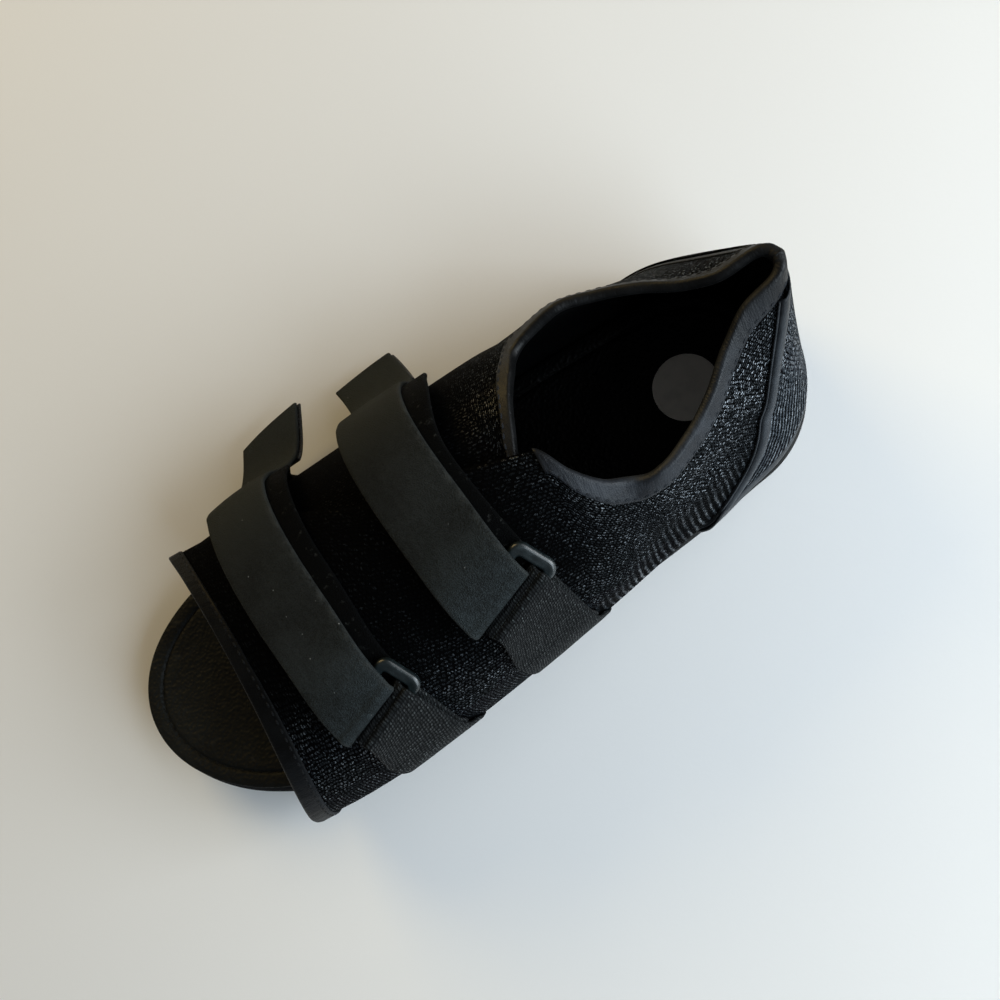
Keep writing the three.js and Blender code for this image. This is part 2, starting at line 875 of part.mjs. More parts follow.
function buildStrap(which) {
  const a = strapLine(which, -1);
  const b = strapLine(which, 1);
  const middle = strapLine(which, 0).line;
  const grid = a.line.map((p, i) => {
    const straight = Math.abs(i - a.turnAt) < 7;
    return [p, straight ? p.clone().lerp(b.line[i], 0.5) : middle[i], b.line[i]];
  });
  return sheetSolid(grid, -strapThickness / 2, strapThickness / 2);
}

/** Hook patch sewn under the free end of a strap. */
function buildHook(which) {
  const from = refine(strapLine(which, -1).line.slice(-4), 4);
  const to = refine(strapLine(which, 1).line.slice(-4), 4);
  let length = 0;
  let start = from.length - 1;
  while (start > 0 && length < hookLength) {
    length += from[start].distanceTo(from[start - 1]);
    start -= 1;
  }
  const inset = 1.2 / strapWidth;
  const grid = [];
  for (let i = start; i < from.length; i += 2) {
    grid.push([from[i].clone().lerp(to[i], inset), to[i].clone().lerp(from[i], inset)]);
  }
  const depth = strapThickness / 2 + gap;
  return sheetSolid(grid, -depth - hookThickness, -depth);
}

/** Rounded rectangular frame with a square-cornered opening for the strap and the webbing. */
function buildRing(which) {
  const { origin, u, d } = ringFrame(which);
  const wide = strapWidth + 1.6 + ringBar * 2;
  const shape = new THREE.Shape();
  const r = ringBar;
  const x0 = -wide / 2;
  const x1 = wide / 2;
  const y0 = -ringBar / 2;
  const y1 = ringSpan - ringBar / 2;
  shape.moveTo(x0 + r, y0);
  shape.lineTo(x1 - r, y0);
  shape.quadraticCurveTo(x1, y0, x1, y0 + r);
  shape.lineTo(x1, y1 - r);
  shape.quadraticCurveTo(x1, y1, x1 - r, y1);
  shape.lineTo(x0 + r, y1);
  shape.quadraticCurveTo(x0, y1, x0, y1 - r);
  shape.lineTo(x0, y0 + r);
  shape.quadraticCurveTo(x0, y0, x0 + r, y0);
  const flat = new THREE.ExtrudeGeometry(shape, {
    depth: ringThickness,
    bevelEnabled: false,
    curveSegments: 4,
  });
  flat.translate(0, 0, -ringThickness / 2);
  const hole = new THREE.BoxGeometry(wide - ringBar * 2, ringSpan - ringBar * 2, ringThickness * 2);
  hole.translate(0, (y0 + y1) / 2, 0);
  const body = fromManifold(toManifold(flat).subtract(toManifold(hole)));
  const frame = new THREE.Matrix4().makeBasis(u, d, u.clone().cross(d));
  frame.setPosition(origin.clone().addScaledVector(d, barShift - ringBar / 2));
  body.applyMatrix4(frame);
  body.computeVertexNormals();
  return body;
}

/** Webbing: sewn at the sole, up the near side, round the lower bar and back under itself. */
function buildWebbing(which) {
  const { origin, u, d, n } = ringFrame(which);
  const { place, ring } = straps[which];
  const radius = webbingRadius;
  const centre = origin.clone().addScaledVector(d, barSpread);
  const lift = gap * 1.8 + webbingThickness / 2;
  const middle = origin.x;
  const column = (edge) => {
    const bar = centre.clone().addScaledVector(u, (edge * strapWidth) / 2);
    const at = (angle, up) => layerFrame(middle + (edge * strapWidth) / 2, angle, up).point;
    const line = [];
    const under = 0.2;
    const lowest = 0.04;
    const steps = 9;
    const low = at(lowest, lift);
    line.push(low.clone().add(new THREE.Vector3(0, -1, -bulgeRise * 0.5)));
    const meet = ring - 0.5;
    for (let i = 0; i <= steps; i += 1) {
      const angle = mix(lowest, meet, i / steps);
      const away = smooth(meet - 0.45, meet - 0.1, angle) * (webbingThickness + gap);
      line.push(at(angle, lift + away));
    }
    const outer = bar.clone().addScaledVector(n, radius);
    line.push(outer.clone().addScaledVector(d, ringBar));
    for (let i = 0; i <= 6; i += 1) {
      const a = (Math.PI * i) / 6;
      const p = bar.clone().addScaledVector(n, Math.cos(a) * radius);
      line.push(p.addScaledVector(d, -Math.sin(a) * radius));
    }
    line.push(bar.clone().addScaledVector(n, -radius).addScaledVector(d, ringBar));
    for (let i = 1; i <= 3; i += 1) {
      line.push(at(mix(meet, meet - under, i / 3), lift));
    }
    return line;
  };
  const a = column(-1);
  const b = column(1);
  const middleLine = column(0);
  const grid = a.map((p, i) => [p, i < 8 ? middleLine[i] : p.clone().lerp(b[i], 0.5), b[i]]);
  return sheetSolid(grid.reverse(), -webbingThickness / 2, webbingThickness / 2);
}

/** Round label on the heel of the footbed. */
function buildLabel() {
  const station = stationOf(7);
  const seat = soleTop(station) + upperWall + gap * 2 + footbedRim - 0.5;
  const disc = new THREE.CylinderGeometry(labelDiameter / 2, labelDiameter / 2, labelThickness, 40);
  disc.rotateX(Math.PI / 2);
  disc.translate(placeX(station), spineY(station), seat + gap + labelThickness / 2 + 0.1);
  disc.deleteAttribute("normal");
  disc.deleteAttribute("uv");
  const merged = mergeVertices(disc, 1e-4);
  merged.computeVertexNormals();
  return merged;
}

const group = new THREE.Group();
group.name = "post_operative_shoe";

function addPart(name, geometry, color, roughness = 0.85) {
  const material = new THREE.MeshStandardMaterial({ color, roughness });
  material.name = `${name}_material`;
  const mesh = new THREE.Mesh(geometry, material);
  mesh.name = name;
  group.add(mesh);
}

addPart("outsole", buildOutsole(), 0x232322, 0.8);
addPart("footbed", buildFootbed(), 0x2b2c29, 0.6);
addPart("upper", sheetSolid(upperGrid, -upperWall / 2, upperWall / 2), 0x141518, 0.9);
addPart("collar_binding", tapeSolid(topTape(turnAt(cornerBase), -turnAt(innerEndBase))), 0x3a3f48);
addPart("front_binding_left", tapeSolid(frontTape(1, 3, rowCount)), 0x343840);
addPart("front_binding_right", tapeSolid(frontTape(-1, 3, rowCount - 4)), 0x343840);
addPart("heel_counter", buildCounter(), 0x17181c);
addPart("heel_seam_left", buildSeam(1), 0x2c3038);
addPart("heel_seam_right", buildSeam(-1), 0x2c3038);
for (const which of ["front", "rear"]) {
  addPart(`${which}_strap`, buildStrap(which), 0x2f3132, 0.8);
  addPart(`${which}_hook`, buildHook(which), 0x131313, 0.95);
  addPart(`${which}_ring`, buildRing(which), 0x3a4547, 0.4);
  addPart(`${which}_webbing`, buildWebbing(which), 0x26292b, 0.9);
}
addPart("heel_label", buildLabel(), 0x8c8a84, 0.7);

export default group;
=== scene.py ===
"""Post operative shoe with an open toe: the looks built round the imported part.

Sizes are millimetres in the shoe's own frame: x to the toe, y to the side with the rings, z up
from the floor. They become metres only when a mesh is made.
"""

import logging
import math
from collections.abc import Mapping, Sequence
from dataclasses import dataclass, field
from enum import Enum

import bmesh
import bpy
import numpy as np
from mathutils import Matrix, Vector


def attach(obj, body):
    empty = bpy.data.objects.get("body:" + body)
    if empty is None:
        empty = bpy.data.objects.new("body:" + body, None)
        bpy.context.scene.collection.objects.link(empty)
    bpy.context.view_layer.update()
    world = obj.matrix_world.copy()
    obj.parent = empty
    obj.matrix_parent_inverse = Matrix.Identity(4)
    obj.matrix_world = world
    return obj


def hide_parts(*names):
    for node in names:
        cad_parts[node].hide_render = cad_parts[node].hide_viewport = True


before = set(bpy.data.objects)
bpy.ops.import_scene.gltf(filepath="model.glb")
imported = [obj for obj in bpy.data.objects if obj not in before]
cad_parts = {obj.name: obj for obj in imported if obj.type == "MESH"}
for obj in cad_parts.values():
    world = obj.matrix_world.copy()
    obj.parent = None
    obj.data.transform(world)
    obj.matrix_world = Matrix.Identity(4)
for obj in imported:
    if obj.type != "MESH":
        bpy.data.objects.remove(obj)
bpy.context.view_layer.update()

LOG = logging.getLogger("shoe")
MM = 0.001
Array = np.ndarray
Colour = tuple[float, float, float]


# ---- numbers ---------------------------------------------------------------------------------


def smooth(low: float, high: float, x: Array | float) -> Array:
    """Ease from 0 at low to 1 at high.

    Args:
        low: value where the result leaves 0.
        high: value where the result reaches 1.
        x: one value or an array of them.

    Returns:
        The eased values.
    """
    t = np.clip((np.asarray(x, float) - low) / (high - low), 0, 1)
    return t * t * (3 - 2 * t)


def mix(a: Array | float, b: Array | float, t: Array | float) -> Array:
    """Blend of a and b by the share t of b."""
    return a + (b - a) * t


def unit(v: Array) -> Array:
    """Vectors scaled to length one."""
    return v / np.maximum(np.linalg.norm(v, axis=-1, keepdims=True), 1e-9)


def run_lengths(points: Array) -> Array:
    """Length along the first axis of a line or grid of points, zero at its start."""
    steps = np.linalg.norm(np.diff(points, axis=0), axis=-1)
    return np.concatenate([np.zeros_like(steps[:1]), np.cumsum(steps, axis=0)])


def refine(points: Array, count: int) -> Array:
    """Catmull-Rom curve through control points, at even parameter steps.

    Args:
        points: control points, first axis along the curve.
        count: number of points wanted.

    Returns:
        The points of the curve.
    """
    last = len(points) - 1
    t = np.linspace(0, last, count)
    i = np.clip(np.floor(t).astype(int), 0, last - 1)
    f = (t - i).reshape((-1,) + (1,) * (points.ndim - 1))
    p0, p1 = points[np.maximum(i - 1, 0)], points[i]
    p2, p3 = points[i + 1], points[np.minimum(i + 2, last)]
    flat = 2 * p1 + (p2 - p0) * f
    bend = (2 * p0 - 5 * p1 + 4 * p2 - p3) * f**2 + (3 * p1 - p0 - 3 * p2 + p3) * f**3
    return (flat + bend) / 2


class Table:
    """Monotone cubic curves over one column of stations."""

    def __init__(self, columns: str, rows: Sequence[Sequence[float]]) -> None:
        """Read the rows of a table.

        Args:
            columns: column names after the station, separated by spaces.
            rows: the rows, station first.
        """
        data = np.array(rows, float)
        self.stations = data[:, 0]
        self.values = data[:, 1:]
        self.names = columns.split()
        step = np.diff(self.values, axis=0) / np.diff(self.stations)[:, None]
        product, total = step[:-1] * step[1:], step[:-1] + step[1:]
        inner = np.where(product <= 0, 0, 2 * product / np.where(total == 0, 1, total))
        self.slopes = np.concatenate([step[:1], inner, step[-1:]])

    def __call__(self, name: str, x: Array | float) -> Array:
        """Value of one column at the given stations.

        Args:
            name: name of the column.
            x: stations, one or many.

        Returns:
            The values of the column.
        """
        c = self.names.index(name)
        xs = self.stations
        x = np.clip(np.asarray(x, float), xs[0], xs[-1])
        i = np.clip(np.searchsorted(xs, x, side="right") - 1, 0, len(xs) - 2)
        h = xs[i + 1] - xs[i]
        t = (x - xs[i]) / h
        y, k = self.values[:, c], self.slopes[:, c]
        start = y[i] * (1 + 2 * t) * (1 - t) ** 2 + k[i] * h * t * (1 - t) ** 2
        return start + y[i + 1] * t * t * (3 - 2 * t) + k[i + 1] * h * t * t * (t - 1)


# ---- the last: every surface of the shoe is worked out from it --------------------------------

PLAN = Table(
    "sole upper spine shift",
    [
        [0, 0.78, 0.667, 0, 0],
        [0.1167, 0.78, 0.68, 0, 0],
        [0.1896, 0.826, 0.735, 0, 0],
        [0.2594, 0.86, 0.783, 0, 0],
        [0.3447, 0.891, 0.832, 0.003, 0.007],
        [0.4731, 0.935, 0.892, 0.005, 0.018],
        [0.6159, 0.985, 0.945, 0.003, 0.023],
        [0.7052, 1, 0.972, -0.001, 0.022],
        [0.7679, 0.97, 0.975, -0.005, 0.018],
        [0.849, 0.96, 0.962, -0.014, 0.01],
        [1, 0.955, 0.96, -0.058, 0],
    ],
)

PROFILE = Table(
    "top bottom crown",
    [
        [0, 1.02, 0.28, 1],
        [0.0294, 1.02, 0, 1],
        [0.2502, 0.98, 0, 1],
        [0.3067, 0.96, 0.14, 1],
        [0.3837, 0.93, 0.26, 0.99],
        [0.4402, 0.91, 0.2, 0.973],
        [0.5172, 0.89, 0, 0.93],
        [0.5891, 0.88, 0, 0.885],
        [0.6919, 0.9, 0, 0.815],
        [0.7381, 0.93, 0, 0.775],
        [0.774, 0.98, 0.07, 0.74],
        [0.849, 1.12, 0.32, 0.678],
        [1, 1.5, 0.95, 0.6],
    ],
)

COLLAR = Table(
    "place half height",
    [
        [0, -0.023, 0, 1],
        [0.0095, -0.0179, 0.05, 0.998],
        [0.0275, -0.0025, 0.086, 0.985],
        [0.063, 0.0324, 0.104, 0.95],
        [0.105, 0.0735, 0.2, 0.9],
        [0.1475, 0.1167, 0.355, 0.867],
        [0.1988, 0.1588, 0.465, 0.853],
        [0.2502, 0.205, 0.538, 0.86],
        [0.2913, 0.2399, 0.538, 0.872],
        [0.3426, 0.2748, 0.5, 0.897],
    ],
)

OUTER_FLAP = Table(
    "crown edge",
    [
        [0.2399, 0.1619, 0.74],
        [0.281, 0.204, 0.64],
        [0.3221, 0.2461, 0.53],
        [0.3529, 0.28, 0.35],
        [0.3837, 0.3057, 0.12],
        [0.4043, 0.3334, 0.05],
        [0.4453, 0.395, -0.08],
        [0.5378, 0.5018, -0.25],
        [0.5994, 0.5768, -0.45],
        [0.7124, 0.6857, -0.7],
        [0.849, 0.774, -0.84],
    ],
)

INNER_FLAP = Table(
    "crown edge",
    [
        [0.2399, 0.1619, 0.74],
        [0.2913, 0.2522, 0.665],
        [0.3324, 0.2769, 0.48],
        [0.3632, 0.2985, 0.3],
        [0.394, 0.3293, -0.05],
        [0.4145, 0.3467, -0.24],
        [0.4453, 0.4043, -0.16],
        [0.5891, 0.5737, 0.1],
        [0.7124, 0.6919, 0.42],
        [0.849, 0.774, 0.7],
    ],
)

SEAM_LINE = Table(
    "turn",
    [[0.13, 2.34], [0.31, 2.02], [0.49, 1.6], [0.69, 1.22], [0.88, 0.8], [1, 0.55]],
)


@dataclass(frozen=True)
class Crease:
    """One soft dent or swell of the cloth, in millimetres."""

    place: tuple[float, float, float]
    along: tuple[float, float, float]
    length: float
    width: float
    rise: float

    def height(self, points: Array) -> Array:
        """Rise of the cloth at the given points.

        Args:
            points: places on the cloth.

        Returns:
            The rise at each place.
        """
        away = points - np.array(self.place)
        axis = unit(np.array(self.along, float))
        run = away @ axis
        side = np.linalg.norm(away - run[..., None] * axis, axis=-1)
        return self.rise * np.exp(-((run / self.length) ** 2) - (side / self.width) ** 2)


# Dents and swells seen on the worn cloth: under the collar, at the ankles, beside the straps.
CREASES = (
    Crease((12, 34, 48), (1, 0.1, 0.25), 16, 5, -1.3),
    Crease((-6, 27, 44), (0.75, 0.1, 0.8), 12, 4, -0.9),
    Crease((33, 40, 34), (0.5, 0, 1), 14, 5, -0.8),
    Crease((50, 41, 45), (0.25, 0, 1), 13, 4, -0.7),
    Crease((22, -38, 44), (1, 0, 0.2), 18, 5, -1.1),
    Crease((48, -40, 46), (0.4, 0, 1), 12, 5, -0.7),
    Crease((56, 22, 70), (0.3, 1, 0), 14, 4, -0.8),
    Crease((104, 20, 68), (0.1, 1, -0.3), 18, 5, -0.9),
    Crease((112, 45, 35), (0.2, 0, 1), 13, 5, -0.8),
    Crease((108, -20, 68), (0, 1, 0.2), 15, 4, -0.6),
    Crease((168, 40, 38), (0.9, 0.3, -0.4), 12, 5, -0.8),
    Crease((170, -32, 44), (1, -0.2, 0), 10, 5, -0.7),
    Crease((40, 43, 24), (1, 0, 0), 16, 4, 0.6),
    Crease((160, 52, 22), (1, 0, 0), 14, 5, 0.5),
)


@dataclass(frozen=True)
class Last:
    """Sizes of the shoe and the surfaces that follow from them."""

    sole_length: float = 257
    heel_back: float = 29
    ball_width: float = 92
    upper_width: float = 106
    heel_height: float = 78
    instep_height: float = 73
    heel_sole: float = 10
    wall: float = 1.8
    gap: float = 0.3
    tape_thickness: float = 0.7
    heel_round: float = 0.132
    toe_round: float = 0.2325
    front_base: float = 0.842
    roundness: float = 2.2
    heel_curl: float = 1.6
    bulge_rise: float = 8
    flange_in: float = 9
    flange_out: float = 3
    top_row: float = 14
    bulge_row: float = 4

    @property
    def lap_rise(self) -> float:
        """Height of the outer flap over the inner one."""
        return self.wall + self.tape_thickness * 2 + self.gap * 3 + 0.3

    @property
    def front_turn(self) -> float:
        """Turn angle of the front edge."""
        return float(self.turn_at(self.front_base))

    def place_x(self, station: Array | float) -> Array:
        """Distance forward of the heel's flat spot at a station."""
        return np.asarray(station) * self.sole_length - self.heel_back

    def station_of(self, x: Array | float) -> Array:
        """Station at a distance forward of the heel's flat spot."""
        return (np.asarray(x) + self.heel_back) / self.sole_length

    def end_cap(self, station: Array) -> Array:
        """Rounding of the sole's outline at both ends.

        Args:
            station: stations along the sole.

        Returns:
            The share of the full half width.
        """
        heel = np.clip(1 - station / self.heel_round, 0, 1)
        toe = np.clip((station - 1 + self.toe_round) / self.toe_round, 0, 1)
        return np.sqrt(1 - heel**2) * np.sqrt(1 - toe**2)

    def heel_cap(self, station: Array) -> Array:
        """Rounding of the upper's outline round the heel."""
        return np.sqrt(1 - np.clip(1 - station / self.heel_round, 0, 1) ** 2)

    def inset_half(self, station: Array, inset: Array | float) -> Array:
        """Half width of the sole's outline moved inward by an inset.

        Args:
            station: stations along the sole.
            inset: distance inward.

        Returns:
            The half widths.
        """
        d = np.asarray(inset) / self.sole_length
        body = PLAN("sole", station) * self.ball_width / 2 - inset
        heel = np.clip((station - d) / (self.heel_round - d), 0, 1)
        toe = np.clip((station - 1 + self.toe_round) / (self.toe_round - d), 0, 1)
        return body * np.sqrt(1 - (1 - heel) ** 2) * np.sqrt(1 - toe**2)

    def sole_half(self, station: Array) -> Array:
        """Half width of the sole."""
        return PLAN("sole", station) * (self.ball_width / 2) * self.end_cap(station)

    def upper_half(self, station: Array) -> Array:
        """Half width of the upper at its bulge."""
        return PLAN("upper", station) * (self.upper_width / 2) * self.heel_cap(station)

    def spine_y(self, station: Array | float) -> Array:
        """Middle line of the sole."""
        return PLAN("spine", station) * self.ball_width

    def upper_spine(self, station: Array | float) -> Array:
        """Middle line of the upper."""
        return PLAN("shift", station) * self.ball_width

    def sole_top(self, station: Array | float) -> Array:
        """Height of the outsole's upper face."""
        return PROFILE("top", station) * self.heel_sole

    def sole_bottom(self, station: Array | float) -> Array:
        """Height of the outsole's tread."""
        return PROFILE("bottom", station) * self.heel_sole

    def station_at(self, turn: Array | float) -> Array:
        """Station of the base outline at a turn angle round the heel.

        Args:
            turn: turn angles.

        Returns:
            The stations.
        """
        a = np.abs(turn)
        bend = self.heel_round * (1 - np.cos(a))
        return np.where(a < math.pi / 2, bend, self.heel_round * (1 + a - math.pi / 2))

    def turn_at(self, station: Array | float) -> Array:
        """Turn angle of the base outline at a station."""
        ratio = np.asarray(station) / self.heel_round
        return np.where(ratio < 1, np.arccos(np.clip(1 - ratio, -1, 1)), ratio - 1 + math.pi / 2)

    def sole_edge(self, turn: Array, inset: Array | float) -> tuple[Array, Array]:
        """Point of the sole's outline, moved inward.

        Args:
            turn: turn angles.
            inset: distance inward.

        Returns:
            The x and y of the points.
        """

        def at(t: Array) -> tuple[Array, Array]:
            """Outline point at a turn angle."""
            s = self.station_at(t)
            return self.place_x(s), self.spine_y(s) + np.sign(t) * self.sole_half(s)

        step = 0.01
        x, y = at(turn)
        ax, ay = at(turn + step)
        bx, by = at(turn - step)
        tx, ty = ax - bx, ay - by
        run = np.maximum(np.hypot(tx, ty), 1e-9)
        return x + ty / run * inset, y - tx / run * inset

    def section_point(self, station: Array, side: Array, angle: Array, grow: Array) -> Array:
        """Point of the closed front section.

        Args:
            station: station along the shoe.
            side: 1 on the ring side and -1 on the other.
            angle: 0 at the bulge and a right angle at the crown.
            grow: distance outward.

        Returns:
            The points.
        """
        c = np.cos(angle)
        power = 2 / self.roundness
        wide = (self.upper_half(station) + grow) * np.sign(c) * np.abs(c) ** power
        low = self.sole_top(station) + self.bulge_rise
        crown = PROFILE("crown", station) * self.instep_height
        high = (crown - low + grow) * np.abs(np.sin(angle)) ** power
        y = self.upper_spine(station) + side * wide
        return np.stack(np.broadcast_arrays(self.place_x(station), y, low + high), axis=-1)

    def wall_point(self, turn: Array, rise: Array) -> Array:
        """Middle surface of the upper above its bulge, rise 1 at the free edge.

        Args:
            turn: turn angles.
            rise: share of the way from the bulge to the free edge.

        Returns:
            The points.
        """
        side = np.where(turn < 0, -1.0, 1.0)
        base = self.station_at(turn)
        rear = 1 - smooth(0.25, 0.312, base)
        near = side > 0
        edge = np.where(near, OUTER_FLAP("edge", base), INNER_FLAP("edge", base))
        crown = np.where(near, OUTER_FLAP("crown", base), INNER_FLAP("crown", base))
        top = np.arccos(np.sign(edge) * np.abs(edge) ** (self.roundness / 2))
        angle = top * rise
        station = mix(base, crown, np.maximum(np.sin(angle), 0) ** 1.6)
        lap = self.lap_rise * smooth(0.26, 0.363, base) * smooth(0, 0.4, rise)
        front = self.section_point(station, side, angle, np.where(near, lap, 0))
        low = self.sole_top(base) + self.bulge_rise
        curl = self.heel_curl

        def lean_at(u: Array | float) -> Array:
            """Inward lean of the heel's wall at a share of its height."""
            return 1 - (1 - (0.86 * np.asarray(u)) ** curl) ** (1 / curl)

        lean = lean_at(np.clip(rise, 0, 1)) / lean_at(1)
        x = mix(self.place_x(base), self.place_x(COLLAR("place", base)), lean)
        half = mix(self.upper_half(base), COLLAR("half", base) * self.upper_width / 2, lean)
        z = mix(low, COLLAR("height", base) * self.heel_height, rise)
        back = np.stack(np.broadcast_arrays(x, self.upper_spine(base) + side * half, z), axis=-1)
        return mix(front, back, rear[..., None])

    def plain_point(self, turn: Array, row: Array) -> Array:
        """Middle surface of the upper from its turned-in flange to its free edge, uncreased.

        Args:
            turn: turn angles.
            row: rows, 0 at the flange's edge and top_row at the free edge.

        Returns:
            The points.
        """
        turn, row = np.broadcast_arrays(np.asarray(turn, float), np.asarray(row, float))
        base = self.station_at(turn)
        flat = self.sole_top(base) + self.gap + self.wall / 2
        inset = mix(self.flange_in, self.flange_out, np.clip(row, 0, 1))
        x, y = self.sole_edge(turn, inset)
        foot = np.stack([x, y, flat], axis=-1)
        bulge = self.wall_point(turn, np.zeros_like(turn))
        t = np.clip((row - 1) / (self.bulge_row - 1), 0, 1)[..., None]
        corner = np.stack([bulge[..., 0], bulge[..., 1], flat], axis=-1)
        bend = foot * (1 - t) ** 2 + corner * 2 * t * (1 - t) + bulge * t * t
        rise = np.clip((row - self.bulge_row) / (self.top_row - self.bulge_row), 0, 1)
        wall = self.wall_point(turn, rise)
        return np.where((row > self.bulge_row)[..., None], wall, bend)

    def normal(self, turn: Array, row: Array) -> Array:
        """Outward normal of the upper.

        Args:
            turn: turn angles.
            row: rows of the upper.

        Returns:
            Vectors of length one.
        """
        d, e = 0.006, 0.04
        u = self.plain_point(turn - d, row) - self.plain_point(turn + d, row)
        above = np.minimum(np.asarray(row, float) + e, self.top_row)
        v = self.plain_point(turn, above) - self.plain_point(turn, np.asarray(row, float) - e)
        return unit(np.cross(u, v))

    def skin(self, turn: Array, row: Array, lift: Array | float = 0.0) -> Array:
        """Creased surface of the upper.

        Args:
            turn: turn angles.
            row: rows, 0 at the flange's edge and top_row at the free edge.
            lift: distance outward from the middle of the wall.

        Returns:
            The points.
        """
        turn, row = np.broadcast_arrays(np.asarray(turn, float), np.asarray(row, float))
        points = self.plain_point(turn, row)
        normal = self.normal(turn, row)
        rise = sum(crease.height(points) for crease in CREASES)
        fade = smooth(self.bulge_row - 1, self.bulge_row + 1, row)
        return points + normal * (rise * fade + lift)[..., None]

    def face(self, turn: Array, row: Array, lift: Array | float = 0.0) -> Array:
        """Outer face of the upper, raised by a lift."""
        return self.skin(turn, row, self.wall / 2 + np.asarray(lift, float))


LAST = Last()


def upper_turns(keys: tuple[float, float], per_arm: int) -> Array:
    """Turn angles from the left front round the heel to the right front.

    Args:
        keys: base stations of the corner on the left and on the right flap.
        per_arm: number of steps on each side.

    Returns:
        The angles, largest first.
    """

    def arm(key: float) -> Array:
        """Angles of one side from the heel to the front.

        Args:
            key: base station of the flap's corner.

        Returns:
            The angles, smallest first.
        """
        corner = float(LAST.turn_at(key))
        heel = round(per_arm * 0.58)
        first = np.linspace(0, corner, heel, endpoint=False)
        return np.concatenate([first, np.linspace(corner, LAST.front_turn, per_arm - heel + 1)])

    return np.concatenate([arm(keys[0])[::-1], -arm(keys[1])[1:]])


# ---- meshes ----------------------------------------------------------------------------------


@dataclass
class Surface:
    """Grids of points gathered into one mesh, with a map in millimetres for weaves and ribs."""

    points: list[Array] = field(default_factory=list)
    faces: list[list[int]] = field(default_factory=list)
    maps: list[list[tuple[float, float]]] = field(default_factory=list)
    slots: list[int] = field(default_factory=list)
    count: int = 0

    def add_grid(self, grid: Array, chart: Array) -> int:
        """Add a grid of quads, its last column joined to the first.

        Args:
            grid: points, rows by columns.
            chart: map of the points, with one more column than the grid.

        Returns:
            Index of the grid's first point.
        """
        m, n = grid.shape[:2]
        start = self.count
        self.points.append(grid.reshape(-1, 3))
        self.count += m * n
        for i in range(m - 1):
            for j in range(n):
                k = (j + 1) % n
                corners = [(i, j, j), (i + 1, j, j), (i + 1, k, j + 1), (i, k, j + 1)]
                self.faces.append([start + a * n + b for a, b, _ in corners])
                self.maps.append([tuple(chart[a, c]) for a, _, c in corners])
                self.slots.append(0)
        return start

    def add_zip(self, start: int, count: int, chart: Array, flip: bool = False) -> None:
        """Close a ring whose two halves mirror each other with a strip of quads.

        Args:
            start: index of the ring's first point.
            count: number of points of the ring.
            chart: map of the ring.
            flip: turn the faces round.
        """
        for k in range(count // 2 - 1):
            corners = [k, k + 1, count - 2 - k, count - 1 - k]
            if flip:
                corners.reverse()
            self.faces.append([start + c for c in corners])
            self.maps.append([tuple(chart[c]) for c in corners])
            self.slots.append(0)

    def add_tube(self, rings: Array, chart: Array) -> None:
        """Add closed rings along a path, with both ends closed.

        Args:
            rings: the rings, rows along the path.
            chart: map of the points, with one more column than the rings.
        """
        m, n = rings.shape[:2]
        start = self.add_grid(rings, chart)
        self.add_zip(start, n, chart[0])
        self.add_zip(start + (m - 1) * n, n, chart[-1], flip=True)

    def build(self, name: str, materials: Sequence[bpy.types.Material]) -> bpy.types.Object:
        """Make the object.

        Args:
            name: name of the piece.
            materials: one material for each slot.

        Returns:
            The object, riding on the shoe.
        """
        data = bpy.data.meshes.new(name)
        points = np.concatenate(self.points) * MM
        data.from_pydata(points.tolist(), [], self.faces)
        layer = data.uv_layers.new(name="cloth_map")
        flat = np.array([pair for face in self.maps for pair in face], np.float32)
        layer.data.foreach_set("uv", flat.ravel())
        data.polygons.foreach_set("material_index", self.slots)
        data.polygons.foreach_set("use_smooth", [True] * len(self.faces))
        for material in materials:
            data.materials.append(material)
        piece = bpy.data.objects.new(name, data)
        bpy.context.scene.collection.objects.link(piece)
        tidy_mesh(data)
        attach(piece, "root")
        LOG.info("%s: %d faces", name, len(data.polygons))
        return piece


def tidy_mesh(data: bpy.types.Mesh) -> None:
    """Merge points that meet, drop faces with no area and turn all faces outward.

    Args:
        data: mesh to clean.
    """
    work = bmesh.new()
    work.from_mesh(data)
    bmesh.ops.remove_doubles(work, verts=work.verts, dist=2e-6)
    bmesh.ops.dissolve_degenerate(work, edges=work.edges, dist=1e-7)
    bmesh.ops.recalc_face_normals(work, faces=work.faces)
    work.to_mesh(data)
    work.free()


def grid_normals(grid: Array) -> Array:
    """Unit normals of a grid, row direction cross column direction."""
    return unit(np.cross(np.gradient(grid, axis=0), np.gradient(grid, axis=1)))


